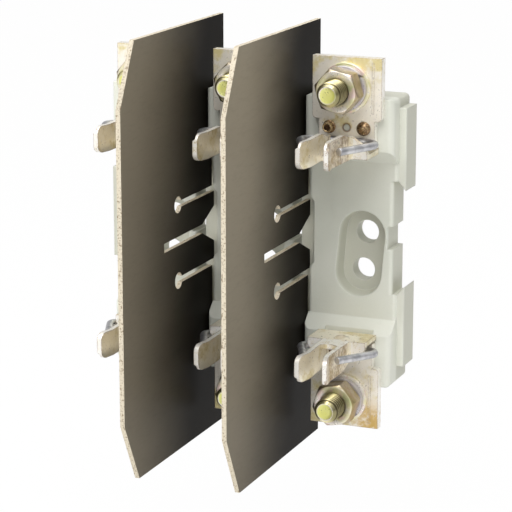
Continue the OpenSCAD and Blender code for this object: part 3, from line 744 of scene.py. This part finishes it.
def dressed_copy(node: str, width_mm: float = 0.0) -> bpy.types.Object:
    """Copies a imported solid, with smooth curves and, where asked, bevelled edges.

    Args:
        node: The solid's name.
        width_mm: Width of the bevels, or 0 where the finish alone rounds the edges.

    Returns:
        The copy, which replaces the solid.
    """
    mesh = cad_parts[node].data.copy()
    mesh.materials.clear()
    work = bmesh.new()
    work.from_mesh(mesh)
    bmesh.ops.remove_doubles(work, verts=work.verts, dist=2e-6)
    if width_mm:
        bevel_edges(work, width_mm)
    set_shading(work, 42.0)
    work.to_mesh(mesh)
    work.free()
    copy = bpy.data.objects.new(f"{node}_dressed", mesh)
    bpy.context.scene.collection.objects.link(copy)
    modifier = copy.modifiers.new("even_normals", "WEIGHTED_NORMAL")
    modifier.keep_sharp = True
    modifier.weight = 80
    return copy


@dataclass(frozen=True)
class Place:
    """One end of one pole."""

    pole: Pole
    end: End

    @property
    def key(self) -> str:
        """The start of this place's node names."""
        return f"{self.pole.word}_{self.end.word}"

    def centre(self, x: float, z: float) -> tuple[float, float]:
        """Turns a place on the pole's own drawing into the row's X and Z, in millimetres."""
        return (
            self.pole.value * POLE_PITCH + ORIGIN_SHIFT[0] + x,
            ORIGIN_SHIFT[1] + self.end.value * z,
        )


@dataclass
class Piece:
    """A piece of the picture that stands for one solid and rides with its body."""

    node: str
    body: str
    slot: Slot
    material: bpy.types.Material

    def make(self) -> bpy.types.Object:
        """Builds the object. Each kind of piece has its own way."""
        raise NotImplementedError

    def place(self) -> bpy.types.Object:
        """Builds the piece, gives it its finish and ties it to its body.

        Returns:
            The placed object.
        """
        made = self.make()
        made.data.materials.clear()
        made.data.materials.append(self.material)
        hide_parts(self.node)
        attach(made, self.body)
        LOG.info("%s: %d faces", made.name, len(made.data.polygons))
        return made


@dataclass
class Copied(Piece):
    """A copy of a solid."""

    width_mm: float = 0.0

    def make(self) -> bpy.types.Object:
        """Copies the solid."""
        return dressed_copy(self.node, self.width_mm)


def face_values(mesh: bpy.types.Mesh, name: str) -> np.ndarray:
    """Reads one vector per face.

    Args:
        mesh: The mesh.
        name: What to read, such as normal or center.

    Returns:
        The vectors, of shape (faces, 3).
    """
    values = np.zeros(len(mesh.polygons) * 3, np.float32)
    mesh.polygons.foreach_get(name, values)
    return values.reshape(-1, 3)


@dataclass
class Sheet(Copied):
    """A sheet's copy, with the number 1 on the faces that are cut edges and 0 on the others."""

    def cut(self, normal: np.ndarray, centre: np.ndarray) -> np.ndarray:
        """Tells which faces are cut edges. Each kind of sheet has its own way."""
        raise NotImplementedError

    def make(self) -> bpy.types.Object:
        """Copies the sheet and marks its cut edges.

        Returns:
            The marked copy.
        """
        made = super().make()
        chosen = self.cut(*(face_values(made.data, key) for key in ("normal", "center")))
        layer = made.data.attributes.new("cut_edge", "FLOAT", "FACE")
        layer.data.foreach_set("value", chosen.astype(np.float32))
        return made


@dataclass
class Barrier(Sheet):
    """A laminate sheet."""

    def cut(self, normal: np.ndarray, centre: np.ndarray) -> np.ndarray:
        """Chooses every face that doesn't lie on the sheet's two sides."""
        return np.abs(normal[:, 0]) < 0.9


@dataclass
class ContactSheet(Sheet):
    """A contact, whose edges are marked on the jaws and along the shelf."""

    shelf_front: float = SHELF_FRONT

    def cut(self, normal: np.ndarray, centre: np.ndarray) -> np.ndarray:
        """Chooses the thin faces in front of the shelf."""
        return (centre[:, 1] < -(self.shelf_front - 0.4) * MM) & (np.abs(normal[:, 0]) < 0.3)


@dataclass
class PlateSheet(Sheet):
    """A terminal plate."""

    def cut(self, normal: np.ndarray, centre: np.ndarray) -> np.ndarray:
        """Chooses the faces that look sideways."""
        return np.abs(normal[:, 1]) < 0.5


@dataclass(frozen=True)
class BoltSizes:
    """Sizes of a terminal bolt, in millimetres."""

    major_r: float = 3.98
    minor_r: float = 3.38
    lead: float = 1.25
    rear: float = 9.95
    seat: float = 15.25
    front: float = 35.75
    chamfer: float = 1.5
    cone: float = 0.8
    lip: float = 0.18
    dish_r: float = 1.4
    dish: float = 0.16
    flank_gain: float = 1.45
    root_flat: float = 0.18
    groove_start: float = 1.45
    groove_fade: float = 1.6
    across_flats: float = 13.0
    height: float = BOLT_HEIGHT
    columns: int = 60
    rows_per_turn: int = 14


@dataclass
class Bolt(Piece):
    """A hexagon-head bolt whose whole shank is threaded."""

    at: Place
    sizes: BoltSizes = BoltSizes()

    def shank(self) -> Surface:
        """Shapes the threaded shank with its chamfer and end face.

        The depth in leads less the angle in turns gives the thread's phase. Half of a turn from
        each crest lies a root, with a smooth flank between, and a cone limits the radius at the end.

        Returns:
            The shank, with its grooves, thread and end face marked.
        """
        s = self.sizes
        turn = circle(s.columns)[None, :]
        depth = np.arange(s.seat - 0.2, s.front, s.lead / s.rows_per_turn)[:, None]
        phase = (depth / s.lead - turn / (2 * math.pi)) % 1.0
        crest = np.clip(np.abs(2 * phase - 1) * s.flank_gain - s.root_flat, 0, 1)
        crest = crest * crest * (3 - 2 * crest)
        radius = s.minor_r + (s.major_r - s.minor_r) * crest
        limit = s.major_r - np.clip(depth - (s.front - s.chamfer), 0, None) * s.cone
        radius = np.minimum(radius, limit)
        coned = radius >= limit - 1e-6
        groove = np.where(coned, 0.0, np.clip(s.groove_start - crest * s.groove_fade, 0, 1))
        centre = self.at.centre(0, s.height)
        body = round_axis(radius, turn, depth, centre)
        rim = s.major_r - s.chamfer * s.cone
        inner = s.front - s.dish
        profile = [
            (rim, s.front), (rim - s.lip, s.front), (rim - 0.5, inner + 0.04),
            (s.dish_r, inner), (0.02, inner),
        ]
        face = turned(profile, centre, s.columns)
        ends = np.zeros((len(face), s.columns))
        disc = ends.copy()
        disc[2:] = 1.0
        marks = {
            "groove": np.concatenate([groove, ends]),
            "thread": np.concatenate([np.ones_like(groove), ends]),
            "tip": np.concatenate([np.zeros_like(groove), disc]),
        }
        return Surface(np.concatenate([body, face]), cap_end=True, marks=marks)

    def head(self) -> Surface:
        """Shapes the hexagon head, whose rows shrink a little towards both faces.

        Returns:
            The head.
        """
        s = self.sizes
        front = s.seat - 0.02
        rows = [
            (0.4, s.rear), (0.9, s.rear), (0.985, s.rear + 0.25), (1.0, s.rear + 0.6),
            (1.0, front - 0.13), (0.99, front), (0.3, front),
        ]
        points = hexagon_rows(rows, s.across_flats / 2, 30.0, self.at.centre(0, s.height))
        return Surface(points, cap_start=True, cap_end=True)

    def make(self) -> bpy.types.Object:
        """Builds shank and head as one object."""
        return build_object(f"{self.at.key}_bolt_threaded", [self.shank(), self.head()], sharp_deg=50.0)


def hexagon_rows(
    rows: Sequence[tuple[float, float]], apothem: float, turn_deg: float, centre: tuple[float, float]
) -> np.ndarray:
    """Points round a hexagon with slightly rounded corners.

    The radius is half the width across flats, divided by the cosine of the angle to the nearest
    flat's middle, and no longer than 0.985 of the corner's.

    Args:
        rows: Pairs of scale and depth.
        apothem: Half the width across flats.
        turn_deg: How far the hexagon is turned.
        centre: The axis's X and Z.

    Returns:
        Points of shape (rows, columns, 3).
    """
    columns, rounding = 96, 0.985
    flat = apothem / np.cos((circle(columns) - math.radians(turn_deg)) % (math.pi / 3) - math.pi / 6)
    limit = apothem / math.cos(math.pi / 6) * rounding
    return turned(rows, centre, columns, np.minimum(flat, limit))


@dataclass(frozen=True)
class NutSizes:
    """Sizes of a terminal nut, in millimetres."""

    apothem: float = 6.48
    near: float = 22.02
    far: float = 28.48
    bore_r: float = 4.06
    sink: float = 0.5
    cone: float = 1.75
    cone_start: float = 0.12
    crispness: float = 5.0
    turn_deg: float = 12.0
    coned_depth: float = 1.3
    face_share: float = 0.94
    height: float = BOLT_HEIGHT
    columns: int = 144


@dataclass
class Nut(Piece):
    """A hexagon nut with coned faces, rounded arrises and a countersunk bore."""

    at: Place
    sizes: NutSizes = NutSizes()

    def make(self) -> bpy.types.Object:
        """Builds the nut as one closed surface.

        The outline is the soft minimum of the flats and of a cone at each face: the logarithm of
        the two exponentials' sum. The bore's rows close it from the far face back to the near one.

        Returns:
            The nut.
        """
        s = self.sizes
        angle = circle(s.columns)[None, :]
        turn = math.radians(s.turn_deg) * -self.at.end.value
        flat = s.apothem / np.cos((angle - turn) % (math.pi / 3) - math.pi / 6)
        span = s.far - s.near
        near_rim = np.linspace(0, 1.0, 9)
        middle = np.linspace(s.coned_depth, span - s.coned_depth, 5)
        depth = np.concatenate([near_rim, middle, span - near_rim[::-1]])[:, None]
        inward = np.minimum(depth, span - depth)
        cone = s.apothem - s.cone_start + inward * s.cone
        soft = -np.log(np.exp(-s.crispness * flat) + np.exp(-s.crispness * cone)) / s.crispness
        outer = np.minimum(soft, flat)
        face_r, sink_r = s.apothem * s.face_share, s.bore_r + s.sink
        inner_rows = [
            (face_r, span), (sink_r + 0.08, span), (sink_r - 0.1, span - 0.1),
            (s.bore_r, span - s.sink - 0.1), (s.bore_r, s.sink), (sink_r, 0.0), (face_r, 0.0),
        ]
        inner_r, inner_d = np.array(inner_rows).T[..., None]
        radius = np.concatenate([outer, inner_r * np.ones_like(angle)])
        deep = s.near + np.concatenate([depth, inner_d])
        points = round_axis(radius, angle, deep, self.at.centre(0, s.height))
        flank = np.concatenate([np.ones_like(outer), np.zeros((len(inner_rows), angle.shape[1]))])
        flank[[0, len(outer) - 1]] = 0.0
        nut = Surface(points, close_rows=True, marks={"flank": flank})
        return build_object(f"{self.at.key}_nut_faced", [nut], sharp_deg=34.0)


@dataclass
class Ring(Piece):
    """A washer with rounded rims, whole or with a slanting cut."""

    at: Place
    inner_r: float = 4.2
    outer_r: float = 8.0
    near: float = 18.3
    far: float = 19.9
    rim: float = 0.25
    cut_deg: float | None = None
    cut_width: float = 1.0
    slant_deg: float = 25.0
    height: float = BOLT_HEIGHT
    columns: int = 112

    def section(self) -> list[tuple[float, float]]:
        """Rounds the four corners of the washer's section, each with a quarter circle.

        Returns:
            Pairs of radius and depth.
        """
        made = []
        corners = [
            (self.outer_r, self.near, 1, 1, -90), (self.outer_r, self.far, 1, -1, 0),
            (self.inner_r, self.far, -1, -1, 90), (self.inner_r, self.near, -1, 1, 180),
        ]
        for radius, depth, out, back, start in corners:
            mid = (radius - out * self.rim, depth + back * self.rim)
            for step in range(4):
                a = math.radians(start + step * 30)
                made.append((mid[0] + self.rim * math.cos(a), mid[1] + self.rim * math.sin(a)))
        return made

    def make(self) -> bpy.types.Object:
        """Turns the section round the bolt. Where it is cut, the angle also leans with the depth.

        Returns:
            The ring.
        """
        centre = self.at.centre(0, self.height)
        section = self.section()
        name = f"{self.at.key}_{'split' if self.cut_deg is not None else 'flat'}_ring"
        if self.cut_deg is None:
            whole = Surface(turned(section, centre, self.columns), close_rows=True)
            return build_object(name, [whole], sharp_deg=60.0)
        radius, depth = np.array(section).T
        mid = (self.near + self.far) / 2
        half_gap = self.cut_width / 2 / self.outer_r
        steps = np.linspace(0, 1, self.columns - 2)[:, None]
        slant = (depth - mid) * math.tan(math.radians(self.slant_deg)) / self.outer_r
        first = math.radians(self.cut_deg) + half_gap
        angle = first + steps * (2 * math.pi - 2 * half_gap) + slant * self.at.end.value
        points = round_axis(radius, angle, depth, centre)
        split = Surface(points, cap_start=True, cap_end=True, marks={"lock": np.ones(points.shape[:2])})
        return build_object(name, [split], sharp_deg=60.0)


@dataclass(frozen=True)
class ClipSizes:
    """Sizes of a spring clip, in millimetres."""

    wire_r: float = 1.235
    half_w: float = 12.2
    corner_r: float = 4.2
    back: float = 19.58
    jaw_front: float = 48.45
    end_in: float = 8.4
    shelf_front: float = SHELF_FRONT
    pinch_front: float = 42.45
    root_half: float = 3.0
    pinch_half: float = 2.6
    sheet: float = 1.6
    clearance: float = 0.08
    rim: float = 0.22
    height: float = 33.65
    upper_lift: float = 0.6
    lower_lift: float = -1.9
    upper_shift: float = -1.3
    lower_shift: float = -0.4
    arm_steps: int = 8
    corner_steps: int = 18
    columns: int = 24


@dataclass
class Clip(Piece):
    """Round wire bent over the plate's neck and along both jaws."""

    at: Place
    sizes: ClipSizes = ClipSizes()

    def stations(self) -> np.ndarray:
        """Works out the wire's middle line, on the pole's own drawing.

        From the right jaw a straight arm meets the corner's circle along its tangent, whose angle
        is the direction to the end plus the arc cosine of radius over distance. The corner's arc
        follows, and its mirror image goes back to the left jaw.

        Returns:
            Rows of X, Y and direction.
        """
        s = self.sizes
        corner = np.array([s.half_w - s.corner_r, -s.back - s.corner_r])
        end_y = -s.jaw_front + s.end_in
        lean = (s.root_half - s.pinch_half) / (s.pinch_front - s.shelf_front)
        face_x = s.pinch_half + s.sheet + (end_y + s.pinch_front) * lean
        end = np.array([face_x + s.wire_r + 0.015 + s.clearance, end_y])
        reach = end - corner
        span = float(np.hypot(*reach))
        touch = math.atan2(reach[1], reach[0]) + math.acos(s.corner_r / span)
        turns = np.linspace(touch, math.pi / 2, s.corner_steps)
        arc = corner + s.corner_r * np.stack([np.cos(turns), np.sin(turns)], -1)
        arm = end + (arc[0] - end) * np.linspace(0, 1, s.arm_steps + 1)[:-1, None]
        right = np.concatenate([arm, arc])
        heading = np.concatenate([np.full(s.arm_steps, touch), turns]) + math.pi / 2
        left = right[::-1] * (-1, 1)
        heading_left = 2 * math.pi - heading[::-1]
        path = np.concatenate([right, left])
        return np.column_stack([path, np.concatenate([heading, heading_left])])

    def make(self) -> bpy.types.Object:
        """Sweeps the wire's section along its path, with rounded cut ends.

        The height rises evenly from the rear run to the ends, by the lift of this end of the pole,
        and the rear run sits a little to one side of the jaws.

        Returns:
            The clip.
        """
        s = self.sizes
        path = self.stations()
        direction = np.stack([np.cos(path[:, 2]), np.sin(path[:, 2])], -1)
        first, last, ahead, behind = path[0, :2], path[-1, :2], direction[0], direction[-1]
        cut_r, round_r = s.wire_r - s.rim, s.wire_r - s.rim * 0.3
        start = [(first, cut_r, ahead), (first + ahead * s.rim * 0.4, round_r, ahead)]
        finish = [(last - behind * s.rim * 0.4, round_r, behind), (last, cut_r, behind)]
        body = [(p[:2], s.wire_r, d) for p, d in zip(path, direction)]
        body[0] = (first + ahead * s.rim, s.wire_r, ahead)
        body[-1] = (last - behind * s.rim, s.wire_r, behind)
        rows = start + body + finish
        turn = circle(s.columns)
        cx, cz = self.at.centre(0, s.height)
        mid = np.array([row[0] for row in rows])[:, None, :]
        radius = np.array([row[1] for row in rows])[:, None]
        heading = np.array([row[2] for row in rows])[:, None, :]
        upper = self.at.end is End.UPPER
        lift, shift = (s.upper_lift, s.upper_shift) if upper else (s.lower_lift, s.lower_shift)
        forward = (mid[..., 1] + s.back) / (s.back + s.end_in - s.jaw_front)
        out = radius * np.cos(turn)
        points = np.stack([
            cx + mid[..., 0] + shift * (1 - forward) - heading[..., 1] * out,
            mid[..., 1] + heading[..., 0] * out,
            cz + self.at.end.value * lift * forward + radius * np.sin(turn),
        ], -1)
        cut = np.zeros((len(rows), s.columns))
        cut[[0, -1]] = 1.0
        wire = Surface(points, cap_start=True, cap_end=True, marks={"cut_end": cut})
        return build_object(f"{self.at.key}_clip_wire", [wire], sharp_deg=50.0)


@dataclass
class Rivets(Piece):
    """A pair of rivets: domed and hollow above, both flush with the plate below."""

    at: Place
    upper_height: float = RIVET_HEIGHT
    lower_height: float = 34.65
    half_pitch: float = 5.7
    front: float = 18.25
    shank_r: float = 1.6
    columns: int = 40

    def make(self) -> bpy.types.Object:
        """Turns both rivets' profiles, with their shanks and rear heads.

        Returns:
            The pair.
        """
        f, shank = self.front, self.shank_r
        upper = self.at.end is End.UPPER
        tail = [
            (0.05, 1.45), (2.5, 1.45), (2.68, 1.6), (2.68, 2.45), (2.55, 2.6), (shank, 2.6), (shank, f - 0.8),
        ]
        dome = [
            (2.26, f), (2.28, f + 0.25), (2.16, f + 0.75), (1.86, f + 1.2),
            (1.35, f + 1.6), (0.72, f + 1.83), (0.03, f + 1.89),
        ]
        tube = [
            (2.08, f), (2.1, f + 0.5), (2.0, f + 0.6), (shank, f + 0.62), (shank, f + 2.3), (1.53, f + 2.52),
            (1.36, f + 2.59), (1.1, f + 2.5), (0.95, f + 2.2), (0.92, f + 1.65), (0.03, f + 1.6),
        ]
        flush = [(shank, f - 0.78), (1.88, f - 0.78), (1.88, f - 0.06), (1.8, f - 0.02), (0.03, f - 0.02)]
        height = self.upper_height if upper else self.lower_height
        made = []
        for side, end in ((1, dome if upper else flush), (-1, tube if upper else flush)):
            profile = tail + end
            centre = self.at.centre(side * self.half_pitch, height)
            rim = np.zeros((len(profile), self.columns))
            groove = np.zeros_like(rim)
            if end is tube:
                rim[-7:-3] = 1.0
                groove[-2:] = 1.0
            points = turned(profile, centre, self.columns)
            marks = {"rim": rim, "groove": groove}
            made.append(Surface(points, cap_start=True, cap_end=True, marks=marks))
        return build_object(f"{self.at.key}_rivet_pair", made, sharp_deg=45.0)


@dataclass
class Finishes:
    """The materials, made once and shared."""

    moulding: bpy.types.Material
    contact: bpy.types.Material
    terminal: bpy.types.Material
    zinc: bpy.types.Material
    wire: bpy.types.Material
    rivet: bpy.types.Material
    laminate: bpy.types.Material

    @classmethod
    def make(cls) -> "Finishes":
        """Builds every material."""
        return cls(
            moulding=MouldedFinish().material(),
            contact=PlatedFinish(
                "contact_plating", srgb(250, 242, 222), srgb(224, 210, 166), srgb(140, 104, 76),
                tarnish_low=0.48, wear=0.8, pale_edge=0.95, jaw_stain=0.8,
            ).material(),
            terminal=PlatedFinish(
                "terminal_plating", srgb(251, 245, 232), srgb(230, 216, 160), srgb(140, 108, 78),
                tarnish_low=0.52, outer_tarnish=0.10, peg_ring=0.7, gold_corner=0.9,
            ).material(),
            zinc=ZincFinish().material(),
            wire=WireFinish().material(),
            rivet=RivetFinish().material(),
            laminate=LaminateFinish().material(),
        )


@dataclass
class TerminalEnd:
    """Contact, terminal, clip, rivets, bolt, washers and nut at one end of a pole."""

    at: Place
    finishes: Finishes

    def pieces(self) -> list[Piece]:
        """Lists the end's pieces, each with its node, body, slot and finish.

        Returns:
            The pieces.
        """
        f, at, key = self.finishes, self.at, self.at.key
        stack = f"{key}_washers"
        return [
            ContactSheet(f"{key}_contact", ROOT_BODY, Slot.CONTACT, f.contact),
            PlateSheet(f"{key}_terminal_plate", ROOT_BODY, Slot.TERMINAL, f.terminal),
            Clip(f"{key}_spring_clip", ROOT_BODY, Slot.WIRE, f.wire, at),
            Rivets(f"{key}_rivets", ROOT_BODY, Slot.RIVET, f.rivet, at),
            Bolt(f"{key}_bolt", ROOT_BODY, Slot.ZINC, f.zinc, at),
            Ring(f"{key}_flat_washer", stack, Slot.ZINC, f.zinc, at),
            Ring(
                f"{key}_lock_washer", stack, Slot.ZINC, f.zinc, at, inner_r=4.15, outer_r=7.2,
                near=19.95, far=21.95, rim=0.2, cut_deg=35.0 * at.end.value,
            ),
            Nut(f"{key}_nut", f"{key}_nut", Slot.ZINC, f.zinc, at),
        ]


@dataclass
class FuseBase:
    """The whole object: three poles and two barriers."""

    finishes: Finishes

    def build(self) -> list[bpy.types.Object]:
        """Places every piece.

        Returns:
            The placed objects.
        """
        f = self.finishes
        pieces: list[Piece] = [
            Copied(f"{pole.word}_base", ROOT_BODY, Slot.MOULDING, f.moulding) for pole in Pole
        ]
        for pole in Pole:
            for end in End:
                pieces += TerminalEnd(Place(pole, end), f).pieces()
        for side in ("left", "right"):
            body = f"{side}_barrier"
            pieces.append(Barrier(f"{side}_phase_barrier", body, Slot.LAMINATE, f.laminate, width_mm=0.12))
        return [piece.place() for piece in pieces]


def stand(
    made: bpy.types.Object, azimuth_deg: float, elevation_deg: float, target: Vector, away: float
) -> None:
    """Sets an object in the scene on one side of a target, looking at it.

    Args:
        made: The camera or light.
        azimuth_deg: Its direction from the target, from the front towards the right.
        elevation_deg: Its direction's height.
        target: What it looks at, in metres.
        away: Its distance from the target, in metres.
    """
    a, e = math.radians(azimuth_deg), math.radians(elevation_deg)
    out = Vector((math.sin(a) * math.cos(e), -math.cos(a) * math.cos(e), math.sin(e)))
    made.location = target + out * away
    made.rotation_mode = "QUATERNION"
    made.rotation_quaternion = (-out).to_track_quat("-Z", "Y")
    bpy.context.scene.collection.objects.link(made)


@dataclass(frozen=True)
class CameraView:
    """The camera, fitted to the photograph."""

    azimuth_deg: float = 22.65
    elevation_deg: float = 13.2
    distance_mm: float = 713.64
    target_mm: tuple[float, float, float] = (-6.54, 0.0, 3.22)
    lens_mm: float = 151.35
    shift_y: float = -30 / 512

    def place(self) -> None:
        """Makes the scene's camera."""
        data = bpy.data.cameras.new("studio_camera")
        data.lens, data.sensor_width, data.shift_y = self.lens_mm, 36.0, self.shift_y
        data.clip_start, data.clip_end = 0.05, 20.0
        camera = bpy.data.objects.new("studio_camera", data)
        target = Vector(self.target_mm) * MM
        stand(camera, self.azimuth_deg, self.elevation_deg, target, self.distance_mm * MM)
        bpy.context.scene.camera = camera


@dataclass(frozen=True)
class SoftLight:
    """A square soft light that points at the object."""

    name: str
    azimuth_deg: float
    elevation_deg: float
    distance_m: float
    size_m: float
    watts: float

    def place(self) -> None:
        """Makes the light."""
        data = bpy.data.lights.new(self.name, "AREA")
        data.shape, data.size, data.energy = "SQUARE", self.size_m, self.watts
        light = bpy.data.objects.new(self.name, data)
        stand(light, self.azimuth_deg, self.elevation_deg, Vector(), self.distance_m)


@dataclass(frozen=True)
class Studio:
    """White surroundings, a pale floor that keeps the shadow, and soft lights."""

    floor_z: float = -0.105
    floor_half: float = 3.0
    floor_tone: Rgb = srgb(240, 240, 238)
    floor_glow: float = 0.975
    floor_mirror: float = 0.92
    room_dim: float = 0.32
    room_top: float = 0.52
    room_front: float = 0.19
    room_shade: float = 0.16
    shine_dim: float = 0.26
    shine_top: float = 0.70
    shine_front: float = 0.50

    def seen_white(self, graph: Graph) -> Value:
        """Marks the rays that show the surroundings directly or through glass.

        Args:
            graph: The graph that asks.

        Returns:
            1 for those rays and 0 for all others.
        """
        path = graph.node("ShaderNodeLightPath")
        seen = [Value(graph, path.outputs[n]) for n in ("Is Camera Ray", "Is Transmission Ray")]
        return (seen[0] + seen[1]).clamped()

    def mirrored(self, graph: Graph) -> Value:
        """Returns 1 for the rays that show the surroundings in a shiny surface."""
        return Value(graph, graph.node("ShaderNodeLightPath").outputs["Is Glossy Ray"])

    def floor(self) -> None:
        """Makes the floor with a pale glow that leaves the shadow readable."""
        steps = np.linspace(-self.floor_half, self.floor_half, 9)
        x, y = np.meshgrid(steps, steps, indexing="ij")
        points = np.stack([x, y, np.full_like(x, self.floor_z)], -1) / MM
        made = build_object("studio_floor", [Surface(points, close_columns=False)])
        g = Graph.named("studio_floor")
        shown = (self.seen_white(g) + self.mirrored(g) * self.floor_mirror).clamped()
        matt = g.node("ShaderNodeBsdfDiffuse", Color=self.floor_tone)
        glow = g.node("ShaderNodeEmission", Color=(1.0, 1.0, 1.0), Strength=1.0)
        mixed = g.node("ShaderNodeMixShader", Fac=shown * self.floor_glow)
        g.tree.links.new(matt.outputs[0], mixed.inputs[1])
        g.tree.links.new(glow.outputs[0], mixed.inputs[2])
        made.data.materials.append(g.end(mixed, "ShaderNodeOutputMaterial"))

    def world(self) -> None:
        """Sets the world: white where it is seen, and lit by a room that is darker on its right."""
        g = Graph(bpy.data.worlds.new("studio_world"))
        outlook = Value(g, g.node("ShaderNodeTexCoord").outputs["Generated"])
        way = g.node("ShaderNodeSeparateXYZ", Vector=outlook)
        across, along, up = (Value(g, way.outputs[n]) for n in "XYZ")
        overhead = up.step(-0.1, 0.8)
        ahead = (along * -0.9 - across * 0.3).step(-0.2, 0.8)
        room = self.room_dim + overhead * self.room_top + ahead * self.room_front
        room = room - across.step(0.1, 0.9) * (1.0 - overhead) * self.room_shade
        shine = self.shine_dim + overhead * self.shine_top + ahead * self.shine_front
        shiny = self.mirrored(g)
        lit = room * (1.0 - shiny) + shine * shiny
        seen = self.seen_white(g)
        glow = g.node("ShaderNodeBackground", Strength=lit * (1.0 - seen) + seen)
        bpy.context.scene.world = g.end(glow, "ShaderNodeOutputWorld")

    def place(self) -> None:
        """Makes floor, world and lights."""
        self.floor()
        self.world()
        for light in (
            SoftLight("key_light", 2.0, 60.0, 1.1, 1.0, 10.8),
            SoftLight("left_light", -45.0, 25.0, 1.2, 0.7, 2.0),
        ):
            light.place()


def main() -> None:
    """Dresses the object and sets up its studio."""
    logging.basicConfig(level=logging.INFO)
    bpy.context.scene.view_settings.view_transform = "Standard"
    FuseBase(Finishes.make()).build()
    CameraView().place()
    Studio().place()


if __name__ == "__main__":
    main()
